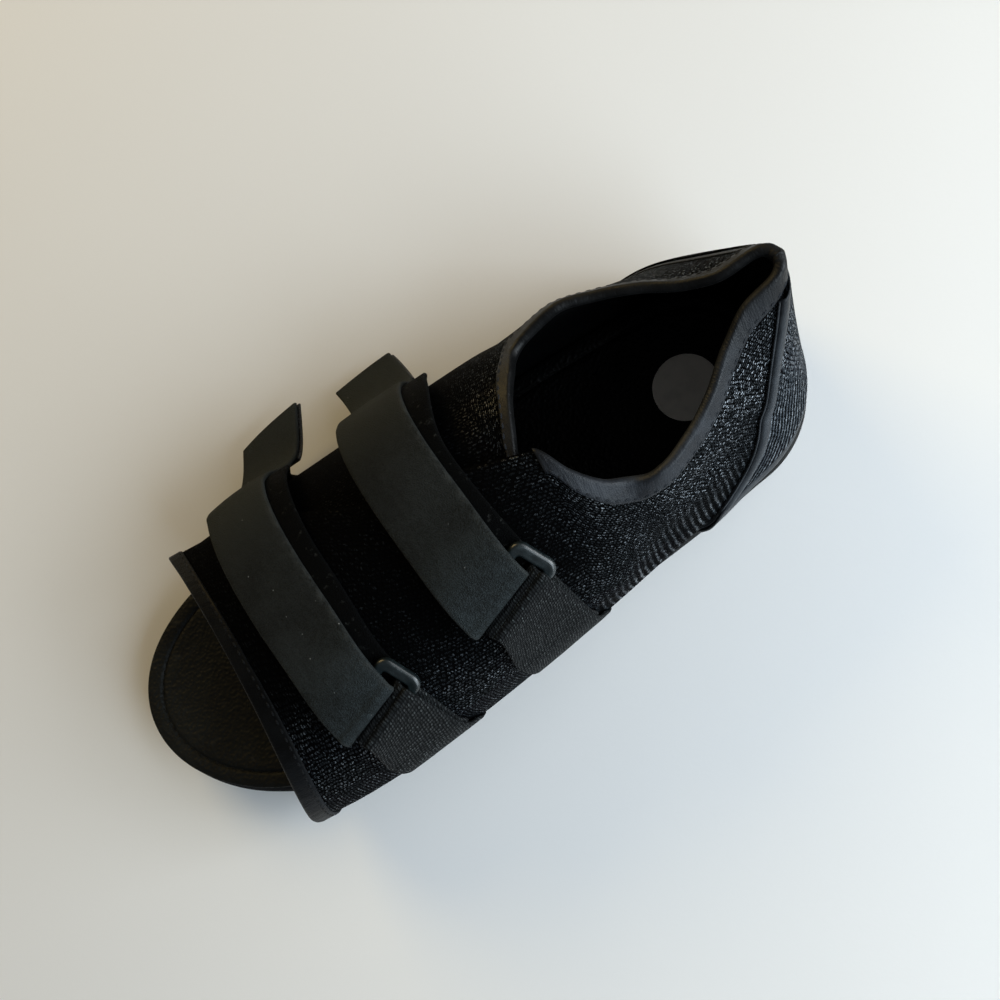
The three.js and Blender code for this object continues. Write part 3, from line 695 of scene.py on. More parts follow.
def sheet_rings(grid: Array, half: float | Array, arc: int = 4) -> Array:
    """Closed rings round a sheet with rounded side edges.

    Args:
        grid: middle surface, rows along the sheet and columns across it.
        half: half the thickness, one value or one for each row and column.
        arc: even number of points round each edge.

    Returns:
        The rings.
    """
    m, n = grid.shape[:2]
    normal = grid_normals(grid)
    thick = np.broadcast_to(np.asarray(half, float), (m, n))[..., None]
    left, right = unit(grid[:, 0] - grid[:, 1]), unit(grid[:, -1] - grid[:, -2])
    body = grid.copy()
    body[:, 0] -= left * thick[:, 0]
    body[:, -1] -= right * thick[:, -1]
    angles = np.radians(np.linspace(90, -90, arc + 2)[1:-1])

    def edge(j: int, out: Array) -> Array:
        """Round points of one edge, from the outer face to the inner one.

        Args:
            j: column of the edge.
            out: direction out of the sheet at each row.

        Returns:
            The points of the edge.
        """
        c, s = np.cos(angles)[None, :, None], np.sin(angles)[None, :, None]
        r = thick[:, j][:, None]
        return body[:, j][:, None] + out[:, None] * r * c + normal[:, j][:, None] * r * s

    left_arc, right_arc = edge(0, left)[:, ::-1], edge(-1, right)
    outer, inner = body + normal * thick, (body - normal * thick)[:, ::-1]
    mid = arc // 2
    return np.concatenate([left_arc[:, mid:], outer, right_arc, inner, left_arc[:, :mid]], axis=1)


def run_across(rings: Array) -> Array:
    """Distance round closed rings.

    Args:
        rings: the rings, one after the other along a tube.

    Returns:
        The distance of each point and of the closing one, a row for each ring.
    """
    loop = np.concatenate([rings, rings[:, :1]], axis=1)
    steps = np.linalg.norm(np.diff(loop, axis=1), axis=-1)
    return np.concatenate([np.zeros((len(rings), 1)), np.cumsum(steps, axis=1)], axis=1)


def even_chart(along: Array, across: Array) -> Array:
    """Map of a grid from one run along it and one across it."""
    return np.stack(np.broadcast_arrays(along[:, None], across[None]), axis=-1)


def ring_chart(rings: Array) -> Array:
    """Map of a tube of rings: length along it and distance round it.

    Args:
        rings: the rings, rows along the tube.

    Returns:
        The map, with one more column than the rings.
    """
    across = run_across(rings)
    along = run_lengths(rings.mean(axis=1))
    return np.stack([np.broadcast_to(along[:, None], across.shape), across], axis=-1)


def add_sheet(surface: Surface, grid: Array, half: float | Array) -> None:
    """Add a sheet of cloth with rounded edges to a surface."""
    rings = sheet_rings(grid, half)
    surface.add_tube(rings, ring_chart(rings))


@dataclass(frozen=True)
class Stitching:
    """Row of stitches laid along a line on a surface."""

    length: float = 2.3
    pitch: float = 3.1
    width: float = 0.42
    rise: float = 0.22

    def add(self, surface: Surface, line: Array, up: Array) -> None:
        """Add the stitches.

        Args:
            surface: where the stitches go.
            line: points of the line on the surface.
            up: outward direction at each point.
        """
        run = run_lengths(line)
        starts = np.arange(self.pitch / 2, run[-1] - self.length, self.pitch)
        for start in starts:
            t = np.linspace(start, start + self.length, 5)
            mid = np.stack([np.interp(t, run, line[:, k]) for k in range(3)], axis=-1)
            out = unit(np.stack([np.interp(t, run, up[:, k]) for k in range(3)], axis=-1))
            along = unit(mid[-1:] - mid[:1])
            side = unit(np.cross(out, along))
            swell = np.array([0.25, 0.9, 1.0, 0.9, 0.25])[:, None, None]
            angle = np.linspace(0, 2 * math.pi, 6, endpoint=False)[None, :, None]
            ring = side[:, None] * np.cos(angle) * self.width
            ring = ring + out[:, None] * np.sin(angle) * self.rise
            sink = out[:, None] * (swell - 0.7) * self.rise * 0.6
            rings = mid[:, None] + ring * swell + sink
            surface.add_tube(rings, even_chart(t, np.linspace(0, 2, 7)))


# ---- finishes --------------------------------------------------------------------------------


class Value:
    """A number that varies over a surface, written with Python's own operators."""

    def __init__(self, graph: "Graph", socket: bpy.types.NodeSocket) -> None:
        """Wrap a node's output socket."""
        self.graph = graph
        self.socket = socket

    def __add__(self, other: "Value | float") -> "Value":
        """Sum."""
        return self.graph.maths("ADD", self, other)

    def __sub__(self, other: "Value | float") -> "Value":
        """Difference."""
        return self.graph.maths("SUBTRACT", self, other)

    def __rsub__(self, other: float) -> "Value":
        """Difference taken from a number."""
        return self.graph.maths("SUBTRACT", other, self)

    def __mul__(self, other: "Value | float") -> "Value":
        """Product."""
        return self.graph.maths("MULTIPLY", self, other)

    def __truediv__(self, other: "Value | float") -> "Value":
        """Quotient."""
        return self.graph.maths("DIVIDE", self, other)

    def __pow__(self, other: float) -> "Value":
        """Power."""
        return self.graph.maths("POWER", self, other)

    def __abs__(self) -> "Value":
        """Size without its sign."""
        return self.graph.maths("ABSOLUTE", self)

    def __mod__(self, other: float) -> "Value":
        """Remainder."""
        return self.graph.maths("FLOORED_MODULO", self, other)

    def floor(self) -> "Value":
        """Whole part."""
        return self.graph.maths("FLOOR", self)

    def sin(self) -> "Value":
        """Sine."""
        return self.graph.maths("SINE", self)

    def root(self) -> "Value":
        """Square root."""
        return self.graph.maths("SQRT", self)

    def ease(self, low: float, high: float) -> "Value":
        """Smooth step from 0 at low to 1 at high, or the other way round where low is larger.

        Args:
            low: value where the result leaves 0.
            high: value where the result reaches 1.

        Returns:
            The eased value.
        """
        node = self.graph.node(
            "ShaderNodeMapRange",
            {"interpolation_type": "SMOOTHSTEP", "clamp": True},
            {"Value": self, "From Min": min(low, high), "From Max": max(low, high)},
        )
        value = Value(self.graph, node.outputs["Result"])
        return value if low < high else 1 - value

    __radd__ = __add__
    __rmul__ = __mul__


class Graph:
    """Nodes of one material."""

    def __init__(self, name: str) -> None:
        """Start an empty material with its shader and its output.

        Args:
            name: name of the material.
        """
        self.material = bpy.data.materials.new(name)
        self.material.use_nodes = True
        self.tree = self.material.node_tree
        self.tree.nodes.clear()
        self.shader = self.tree.nodes.new("ShaderNodeBsdfPrincipled")
        out = self.tree.nodes.new("ShaderNodeOutputMaterial")
        self.tree.links.new(self.shader.outputs["BSDF"], out.inputs["Surface"])

    def node(
        self, kind: str, settings: Mapping[str, object], inputs: Mapping[str | int, object]
    ) -> bpy.types.Node:
        """Add one node.

        Args:
            kind: type of the node.
            settings: properties set before its sockets.
            inputs: values or links of its sockets, by name or number.

        Returns:
            The node.
        """
        made = self.tree.nodes.new(kind)
        for key, value in settings.items():
            setattr(made, key, value)
        for key, value in inputs.items():
            source = getattr(value, "socket", value)
            if isinstance(source, bpy.types.NodeSocket):
                self.tree.links.new(source, made.inputs[key])
            else:
                made.inputs[key].default_value = source
        return made

    def maths(self, operation: str, *values: "Value | float") -> Value:
        """Number from one Math node."""
        node = self.node("ShaderNodeMath", {"operation": operation}, dict(enumerate(values)))
        return Value(self, node.outputs[0])

    def cloth(self) -> tuple[Value, Value]:
        """Place on the cloth in millimetres, along it and across it.

        Returns:
            The two parts of the place.
        """
        chart = self.node("ShaderNodeUVMap", {"uv_map": "cloth_map"}, {})
        parts = self.node("ShaderNodeSeparateXYZ", {}, {"Vector": chart.outputs["UV"]})
        return Value(self, parts.outputs["X"]), Value(self, parts.outputs["Y"])

    def place(self) -> tuple[bpy.types.NodeSocket, tuple[Value, Value, Value]]:
        """Place in the shoe's frame in metres, whole and as its three parts.

        Returns:
            The place, and its x, y and z.
        """
        where = self.node("ShaderNodeTexCoord", {}, {}).outputs["Object"]
        parts = self.node("ShaderNodeSeparateXYZ", {}, {"Vector": where}).outputs
        return where, (Value(self, parts[0]), Value(self, parts[1]), Value(self, parts[2]))

    def pair(self, x: Value, y: Value) -> bpy.types.NodeSocket:
        """Vector of two numbers."""
        return self.node("ShaderNodeCombineXYZ", {}, {"X": x, "Y": y}).outputs["Vector"]

    def noise(
        self, size: float, detail: float = 2.0, at: bpy.types.NodeSocket | None = None
    ) -> Value:
        """Cloudy value from 0 to 1.

        Args:
            size: size of the clouds in millimetres.
            detail: number of finer octaves.
            at: place to read, or None for the shoe's frame.

        Returns:
            The value.
        """
        where = at if at is not None else self.place()[0]
        scale = 1 / size if at is not None else 1 / (size * MM)
        node = self.node(
            "ShaderNodeTexNoise", {}, {"Vector": where, "Scale": scale, "Detail": detail}
        )
        return Value(self, node.outputs["Fac"])

    def cells(self, size: float, feature: str = "F1") -> Value:
        """Distance within scattered cells of a size in millimetres.

        Args:
            size: size of the cells in millimetres.
            feature: kind of distance.

        Returns:
            The distance.
        """
        node = self.node(
            "ShaderNodeTexVoronoi",
            {"feature": feature},
            {"Vector": self.place()[0], "Scale": 1 / (size * MM)},
        )
        return Value(self, node.outputs["Distance"])

    def larger(self, a: Value, b: Value) -> Value:
        """Larger of two values."""
        return self.maths("MAXIMUM", a, b)

    def chance(self, x: Value, y: Value) -> Value:
        """Random value of a cell.

        Args:
            x: column of the cell.
            y: row of the cell.

        Returns:
            A value from 0 to 1.
        """
        node = self.node(
            "ShaderNodeTexWhiteNoise", {"noise_dimensions": "2D"}, {"Vector": self.pair(x, y)}
        )
        return Value(self, node.outputs["Value"])

    def tint(self, share: Value, a: object, b: object) -> bpy.types.NodeSocket:
        """Blend of two colours.

        Args:
            share: share of the second colour.
            a: first colour, or a link.
            b: second colour, or a link.

        Returns:
            The colour.
        """
        full = [(*c, 1.0) if isinstance(c, tuple) else c for c in (a, b)]
        node = self.node(
            "ShaderNodeMix", {"data_type": "RGBA"}, {0: share, 6: full[0], 7: full[1]}
        )
        return node.outputs[2]

    def dress(
        self,
        colour: object,
        roughness: object,
        height: Value | None = None,
        depth: float = 0.3,
        **more: object,
    ) -> bpy.types.Material:
        """Set the shader's sockets.

        Args:
            colour: colour or link.
            roughness: number or link.
            height: relief from 0 to 1.
            depth: height of the relief in millimetres.
            more: values or links of other sockets, spaces written as underscores.

        Returns:
            The material.
        """
        wanted = {"Base Color": (*colour, 1.0) if isinstance(colour, tuple) else colour}
        wanted["Roughness"] = roughness
        if height is not None:
            bump = self.node(
                "ShaderNodeBump", {}, {"Height": height, "Distance": depth * MM, "Strength": 1.0}
            )
            wanted["Normal"] = bump.outputs["Normal"]
        for key, value in more.items():
            wanted[key.replace("_", " ")] = value
        for key, value in wanted.items():
            source = getattr(value, "socket", value)
            if isinstance(source, bpy.types.NodeSocket):
                self.tree.links.new(source, self.shader.inputs[key])
            else:
                self.shader.inputs[key].default_value = source
        return self.material


class Knit(Enum):
    """How the raised yarn of the spacer mesh lies."""

    RIBS = "ribs"
    QUARTER = "quarter"


@dataclass(frozen=True)
class SpacerMesh:
    """Black knitted spacer mesh: matte ground with staggered bumps and ribs of glossy yarn, with
    painted glints that light the near side and the heel and painted shade that keeps the top near
    black.
    """

    name: str
    knit: Knit
    across: float = 1.25
    along: float = 1.0
    rib: float = 2.5
    ground: Colour = (0.0004, 0.0004, 0.0005)
    yarn: Colour = (0.0190, 0.0228, 0.0265)
    # The pale colours are painted glints on the bump tops, paler on the heel.
    worn_and_glint: Colour = (0.190, 0.220, 0.250)
    heel_glint: Colour = (0.42, 0.47, 0.53)

    def build(self) -> bpy.types.Material:
        """Make the material.

        Returns:
            The material.
        """
        g = Graph(self.name)
        u, v = g.cloth()
        _, (x, y, z) = g.place()
        wander = g.noise(4.0, 3.0) - 0.5
        rows = (v + wander * 2.0) / self.along
        row = rows.floor()
        columns = (u + (g.noise(5.0, 3.0) - 0.5) * 2.2) / self.across + (row % 2) * 0.5
        column = columns.floor()
        luck = g.chance(column, row)
        second = g.chance(row + 7.3, column + 3.1)
        fu = columns - column - 0.5 + (second - 0.5) * 0.34
        fv = rows - row - 0.5 + (luck - 0.5) * 0.3
        bump = ((fu * fu) + (fv * fv) * 1.4).root().ease(0.62, 0.2)
        grain = g.noise(0.38, 2.0).ease(0.3, 0.72)
        knit = bump * (grain * 0.8 + 0.2)
        phase = (u + wander * 1.4) * (2 * math.pi / self.rib)
        rib = (phase.sin() * 0.5 + 0.5) ** 2.2
        ribbed = rib * (grain * 0.6 + 0.3) + knit * 0.45
        # side is painted light: the yarn shows on the near side and the heel, while the top stays
        # near black as painted shade.
        if self.knit is Knit.RIBS:
            part = z.ease(0.058, 0.036)
            side = x.ease(0.1, 0.09) * 1.6
        else:
            part = x.ease(0.085, 0.06) * y.ease(0.022, 0.034) * z.ease(0.052, 0.026)
            near = y.ease(0.012, 0.036) * z.ease(0.068, 0.05)
            side = g.larger(near, x.ease(0.07, 0.035))
            low = x.ease(0.09, 0.1) * y.ease(0.03, 0.04) * z.ease(0.045, 0.03)
            fine = ((u + wander) * (2 * math.pi / 1.2)).sin() * 0.5 + 0.5
            knit = knit + (fine * (grain * 0.5 + 0.4) - knit) * low * 0.6
        height = knit + (ribbed - knit) * part
        # A cloud that makes the painted glints and the gloss stronger in patches.
        glint_cloud = g.noise(13.0, 3.0).ease(0.3, 0.7)
        lucky = luck.ease(0.35, 0.95)
        # Painted light: the heel's near side is brighter and gets paler painted glints.
        heel = x.ease(0.06, 0.0) * y.ease(0.0, 0.02) * z.ease(0.03, 0.06)
        lit_share = (side * 0.94 + 0.06) * (heel * 0.9 + 1.0)
        pale = g.tint(heel, self.worn_and_glint, self.heel_glint)
        dull = g.tint(height.ease(0.1, 1.0) * lit_share, self.ground, self.yarn)
        lit = g.tint(height.ease(0.35, 1.0) * lucky * (glint_cloud * 0.7 + 0.3) * lit_share, dull, pale)
        gloss = height.ease(0.3, 0.9) * (lucky * 0.8 + 0.2) * (glint_cloud * 0.4 + 0.6) * lit_share
        return g.dress(
            lit, 0.85, height, 0.3, Coat_Weight=gloss, Coat_Roughness=0.27, Specular_IOR_Level=0.02
        )


@dataclass(frozen=True)
class Lining:
    """Thin black lining on the inside of the upper."""

    name: str = "lining"
    colour: Colour = (0.0008, 0.0008, 0.0010)
    worn_and_glint: Colour = (0.0026, 0.0027, 0.0031)

    def build(self) -> bpy.types.Material:
        """Make the material.

        Returns:
            The material.
        """
        g = Graph(self.name)
        u, v = g.cloth()
        knit = (u * (2 * math.pi / 1.1)).sin() * (v * (2 * math.pi / 0.9)).sin() * 0.5 + 0.5
        tone = g.tint(g.noise(18.0, 3.0).ease(0.35, 0.8), self.colour, self.worn_and_glint)
        return g.dress(tone, 0.95, knit, 0.12, Specular_IOR_Level=0.08)


@dataclass(frozen=True)
class SatinTape:
    """Blue-grey satin binding, puckered across it, with painted shade away from the ring side and
    toward the toe.
    """

    name: str
    colour: Colour = (0.0085, 0.0100, 0.0128)
    worn_and_glint: Colour = (0.0270, 0.0310, 0.0375)
    dim: Colour = (0.0020, 0.0021, 0.0022)
    lit_from: float = 0.0
    shine: float = 0.22
    rib: float = 0.85

    def build(self) -> bpy.types.Material:
        """Make the material.

        Returns:
            The material.
        """
        g = Graph(self.name)
        u, v = g.cloth()
        _, (x, y, _) = g.place()
        # Painted shade: the dim colour takes over away from the ring side, and the tape is darker
        # toward the toe.
        near = y.ease(self.lit_from, self.lit_from + 0.018) * (x.ease(0.075, 0.045) * 0.6 + 0.4)
        rib = ((u + g.noise(3.0, 3.0) * 1.6) * (2 * math.pi / self.rib)).sin() * 0.5 + 0.5
        pucker = g.noise(2.4, 2.0, g.pair(u, v * 0.4))
        patch = g.noise(9.0, 4.0).ease(0.35, 0.72)
        lint = g.noise(0.7, 3.0).ease(0.66, 0.8)
        tone = g.tint(patch * 0.6 + rib * 0.05 + lint * 0.4, self.colour, self.worn_and_glint)
        relief = rib * 0.04 + pucker * 0.66 + g.noise(0.5, 2.0) * 0.3
        rough = 0.42 + patch * 0.16
        lit = g.tint(near * 0.95 + patch * 0.05, self.dim, tone)
        return g.dress(
            lit,
            rough,
            relief,
            0.45,
            Specular_IOR_Level=self.shine,
            Sheen_Weight=0.01,
            Sheen_Roughness=0.4,
        )


@dataclass(frozen=True)
class BrushedStrap:
    """Charcoal loop fabric with a brushed face, lint and scuffs, with painted shade on the layer
    under the fold and painted light on its near and far sides.
    """

    name: str
    fold: float
    width: float
    colour: Colour = (0.0072, 0.0075, 0.0066)
    pale: Colour = (0.0235, 0.0258, 0.0248)
    # Painted light: a cool lit tone for the near side and a lighter tone for the far side.
    painted_cool_light: Colour = (0.0390, 0.0485, 0.0520)
    far: Colour = (0.0330, 0.0370, 0.0345)
    cut_edge: Colour = (0.034, 0.036, 0.034)
    # Painted shade for the layer under the fold.
    under: Colour = (0.0007, 0.0009, 0.0010)
    lint: Colour = (0.20, 0.205, 0.20)

    def build(self) -> bpy.types.Material:
        """Make the material.

        Returns:
            The material.
        """
        g = Graph(self.name)
        u, v = g.cloth()
        broad = g.noise(15.0, 4.0)
        fuzz = g.noise(0.42, 3.0).ease(0.3, 0.7)
        nap = g.noise(1.8, 3.0, g.pair(u * 0.5, v))
        rub = broad.ease(0.3, 0.72) * 0.3 + nap.ease(0.3, 0.75) * 0.2 + fuzz * 0.5
        _, (_, y, _) = g.place()
        # Painted light: lighter toward the far side, and the light nap turns to a cool lit tone on
        # the near side.
        tone = g.tint(rub, self.dark_tone(g, y), g.tint(y.ease(0.0, 0.04), self.pale, self.painted_cool_light))
        edge = (abs(v - self.width / 2 - 0.9)).ease(self.width / 2 - 1.6, self.width / 2 - 0.2)
        edged = g.tint(edge * nap.ease(0.35, 0.7) * 0.7, tone, self.cut_edge)
        # Painted shade: the layer under the fold is near black, with lighter fluff at its edges.
        under_layer = u.ease(self.fold + 2.5, self.fold - 1.0)
        fluff = g.noise(2.2, 4.0).ease(0.6, 0.8) * edge
        dark = g.tint(fluff * 0.8, self.under, self.cut_edge)
        both = g.tint(under_layer, edged, dark)
        speck = g.cells(4.6).ease(0.075, 0.03) * g.noise(9.0, 1.0).ease(0.48, 0.6)
        scuff = g.noise(1.1, 4.0, g.pair(u * 0.25, v)).ease(0.74, 0.84) * 0.3
        lit = g.tint((speck * 0.8 + scuff) * (1 - under_layer), both, self.lint)
        relief = fuzz * 0.65 + nap * 0.35
        return g.dress(
            lit,
            0.88,
            relief,
            0.42,
            Specular_IOR_Level=0.05,
            Sheen_Weight=0.004,
            Sheen_Roughness=0.5,
        )

    def dark_tone(self, g: Graph, y: Value) -> bpy.types.NodeSocket:
        """Darker tone of the nap, with painted light making it lighter toward the far side."""
        return g.tint(y.ease(-0.012, -0.045), self.colour, self.far)


@dataclass(frozen=True)
class WovenElastic:
    """Charcoal elastic webbing with raised yarn in slanting rows and painted glints on some knops.
    """

    name: str
    pick: float
    end: float
    colour: Colour = (0.0018, 0.0022, 0.0024)
    raised: Colour = (0.0150, 0.0180, 0.0195)
    painted_glint: Colour = (0.095, 0.115, 0.115)

    def build(self) -> bpy.types.Material:
        """Make the material.

        Returns:
            The material.
        """
        g = Graph(self.name)
        u, v = g.cloth()
        rows = (u + (g.noise(4.0, 2.0) - 0.5) * 0.9) / self.pick
        row = rows.floor()
        columns = (v + (g.noise(5.0, 2.0) - 0.5) * 0.8) / self.end + row * 0.36
        column = columns.floor()
        luck = g.chance(column, row)
        other = g.chance(row + 4.7, column + 1.9)
        fu = rows - row - 0.5 + (luck - 0.5) * 0.35
        fv = columns - column - 0.5 + (other - 0.5) * 0.35
        lean = fu + fv * 0.45
        yarn = g.noise(0.36, 2.0).ease(0.3, 0.7)
        knop = ((lean * lean) * 1.3 + (fv * fv)).root().ease(0.66, 0.15) * (yarn * 0.55 + 0.45)
        glint_cloud = g.noise(11.0, 3.0).ease(0.3, 0.7)
        dull = g.tint(knop * (luck * 0.4 + 0.6), self.colour, self.raised)
        # Painted glints: pale specks on some knops, stronger in patches.
        lit = g.tint(luck.ease(0.62, 1.0) * knop.ease(0.4, 1.0) * glint_cloud * 0.7, dull, self.painted_glint)
        gloss = knop.ease(0.3, 0.9) * (luck * 0.6 + 0.2)
        return g.dress(
            lit, 0.8, knop, 0.32, Coat_Weight=gloss, Coat_Roughness=0.38, Specular_IOR_Level=0.1
        )


@dataclass(frozen=True)
class MouldedPlastic:
    """Grey-green moulded plastic of the rings."""

    name: str
    colour: Colour = (0.0052, 0.0085, 0.0096)
    rubbed: Colour = (0.012, 0.018, 0.020)

    def build(self) -> bpy.types.Material:
        """Make the material.

        Returns:
            The material.
        """
        g = Graph(self.name)
        flow = g.noise(3.0, 3.0)
        tone = g.tint(flow.ease(0.4, 0.8), self.colour, self.rubbed)
        return g.dress(
            tone, 0.28 + flow * 0.14, g.noise(0.9, 2.0), 0.03, Coat_Weight=0.25, Coat_Roughness=0.2
        )


@dataclass(frozen=True)
class GrainedCover:
    """Dark grained cover of the footbed, rubbed where the foot lies, with painted shade everywhere
    but the open toe.
    """

    name: str = "footbed_cover"
    colour: Colour = (0.0028, 0.0029, 0.0024)
    worn_and_glint: Colour = (0.0105, 0.0108, 0.0092)
    dust: Colour = (0.026, 0.0255, 0.0215)
    shaded: Colour = (0.0006, 0.0006, 0.0006)

    def build(self) -> bpy.types.Material:
        """Make the material.

        Returns:
            The material.
        """
        g = Graph(self.name)
        pores = g.cells(1.1, "SMOOTH_F1").ease(0.15, 0.75)
        creases = g.noise(2.2, 4.0)
        rub = g.noise(26.0, 4.0).ease(0.35, 0.7)
        _, (x, _, _) = g.place()
        # Painted shade: behind the open toe the footbed takes the shaded colour.
        lit_open_toe = x.ease(0.150, 0.185)
        tone = g.tint(rub * 0.6 + creases * 0.4, self.colour, self.worn_and_glint)
        dust = g.noise(5.0, 5.0).ease(0.6, 0.8) * 0.5
        lit = g.tint(lit_open_toe, self.shaded, g.tint(dust, tone, self.dust))
        return g.dress(
            lit, 0.6 - rub * 0.1, pores * 0.6 + creases * 0.4, 0.3, Specular_IOR_Level=0.13
        )


@dataclass(frozen=True)
class MouldedSole:
    """Black foam and rubber sole, matte, with fine moulded pores."""

    name: str
    colour: Colour = (0.0068, 0.0070, 0.0068)
    pale_low_tone: Colour = (0.024, 0.0235, 0.0215)

    def build(self) -> bpy.types.Material:
        """Make the material.

        Returns:
            The material.
        """
        g = Graph(self.name)
        _, (_, _, z) = g.place()
        # Lighter towards the floor and in soft clouds.
        low = z.ease(0.006, 0.0)
        cloud = g.noise(12.0, 4.0)
        paling = (low * 0.5 + cloud.ease(0.45, 0.8) * 0.5) * 0.8
        pores = g.noise(0.7, 3.0)
        tone = g.tint(paling, self.colour, self.pale_low_tone)
        return g.dress(tone, 0.66 + cloud * 0.2, pores, 0.12, Specular_IOR_Level=0.3)


@dataclass(frozen=True)
class HookPatch:
    """Black patch of tiny moulded hooks."""

    name: str
    colour: Colour = (0.0012, 0.0012, 0.0015)
    tip: Colour = (0.014, 0.014, 0.016)

    def build(self) -> bpy.types.Material:
        """Make the material.

        Returns:
            The material.
        """
        g = Graph(self.name)
        hooks = g.cells(0.9).ease(0.45, 0.1)
        return g.dress(g.tint(hooks, self.colour, self.tip), 0.5, hooks, 0.6)


@dataclass(frozen=True)
class Sticker:
    """Pale bare sticker, slightly soiled."""

    name: str = "sticker"
    colour: Colour = (0.90, 0.85, 0.76)
    soiled: Colour = (0.72, 0.69, 0.62)

    def build(self) -> bpy.types.Material:
        """Make the material.

        Returns:
            The material.
        """
        g = Graph(self.name)
        stain = g.noise(5.0, 5.0).ease(0.42, 0.75)
        return g.dress(g.tint(stain * 0.7, self.colour, self.soiled), 0.55, g.noise(0.6), 0.03)


@dataclass(frozen=True)
class Thread:
    """Grey-blue sewing thread."""

    name: str
    colour: Colour = (0.008, 0.009, 0.011)
    light: Colour = (0.022, 0.025, 0.030)

    def build(self) -> bpy.types.Material:
        """Make the material.

        Returns:
            The material.
        """
        g = Graph(self.name)
        u, v = g.cloth()
        ply = ((u + v * 0.8) * (2 * math.pi / 0.7)).sin() * 0.5 + 0.5
        tone = g.tint(ply, self.colour, self.light)
        return g.dress(tone, 0.6, ply, 0.08, Specular_IOR_Level=0.1)


@dataclass(frozen=True)
class PaintedFloor:
    """Plain pale floor."""

    name: str = "pale_floor"
    colour: Colour = (0.80, 0.795, 0.785)
    faint: Colour = (0.76, 0.755, 0.75)

    def build(self) -> bpy.types.Material:
        """Make the material.

        Returns:
            The material.
        """
        g = Graph(self.name)
        cloud = g.noise(180.0, 2.0)
        return g.dress(g.tint(cloud, self.colour, self.faint), 0.85, g.noise(1.5), 0.02)


# ---- sole and footbed ------------------------------------------------------------------------


@dataclass(frozen=True)
class Outsole:
    """Moulded sole with a stepped side, flat spots and cross grooves."""

    groove_width: float = 3.0
    groove_depth: float = 2.2
    groove_pitch: float = 9.5
    groove_border: float = 6.0
    grooved: tuple[tuple[float, float], ...] = ((0.085, 0.22), (0.522, 0.895))

    def groove_places(self) -> Array:
        """Places of the grooves along the sole.

        Returns:
            Distances forward of the heel's flat spot.
        """
        out = []
        for first, last in self.grooved:
            count = math.floor((last - first) * LAST.sole_length / self.groove_pitch)
            out.append(LAST.place_x(np.linspace(first, last, count + 1)))
        return np.concatenate(out)

    def stations(self) -> Array:
        """Stations of the rings: dense at the rounded ends and at each groove's walls.

        Returns:
            The stations, from heel to toe.
        """
        t = np.linspace(0, 1, 150)
        base = mix(0.0004, 0.9996, t - np.sin(2 * math.pi * t) * 0.145)
        half = self.groove_width / 2
        walls = (-half - 0.25, -half + 0.1, half - 0.1, half + 0.25)
        marks = LAST.station_of(np.concatenate([self.groove_places() + k for k in walls]))
        far = np.min(np.abs(base[:, None] - marks[None]), axis=1) > 0.0016
        return np.sort(np.concatenate([base[far | (base < 0.01) | (base > 0.99)], marks]))

    def build(self) -> None:
        """Make the sole."""
        s = self.stations()
        x = LAST.place_x(s)
        half, top, low = LAST.sole_half(s), LAST.sole_top(s), LAST.sole_bottom(s)
        spread = np.minimum(1, half / 8)
        tall = top - low
        side = [
            (-2.2, 0.0), (-0.4, 0.0), (0.35, 0.02), (0.8, 0.07), (0.95, 0.12), (0.95, 0.3),
            (0.8, 0.345), (0.25, 0.385), (0.15, 0.42), (0.2, 0.475), (0.7, 0.53), (1.3, 0.585),
            (1.5, 0.64), (1.42, 0.76), (1.1, 0.88), (0.5, 0.96), (-0.5, 0.995), (-1.2, 1.0),
        ]
        reach = [half + out * spread for out, _ in side]
        height = [top - share * tall for _, share in side]
        away = np.min(np.abs(x[:, None] - self.groove_places()[None]), axis=1)
        sunk = self.groove_depth * (away < self.groove_width / 2)
        border = np.maximum(half - self.groove_border, 0)
        foot = reach[-1]
        tread = [
            (half - 3 * spread, 0), (border + 0.3, 0),
            (border, 1), (border * 0.6, 1), (border * 0.2, 1),
        ]
        for wide, cut in tread:
            reach.append(np.minimum(wide, foot))
            height.append(low + cut * sunk * (border > 2))
        wide, z = np.stack(reach, axis=1), np.stack(height, axis=1)
        c = LAST.spine_y(s)[:, None]
        xs = np.broadcast_to(x[:, None], wide.shape)
        left = np.stack([xs, c + wide, z], axis=-1)
        right = np.stack([xs, c - wide, z], axis=-1)[:, ::-1]
        rings = np.concatenate([left, right], axis=1)
        surface = Surface()
        surface.add_tube(rings, ring_chart(rings))
        piece = surface.build("sole_body", [MouldedSole("sole_rubber").build()])
        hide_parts("outsole")


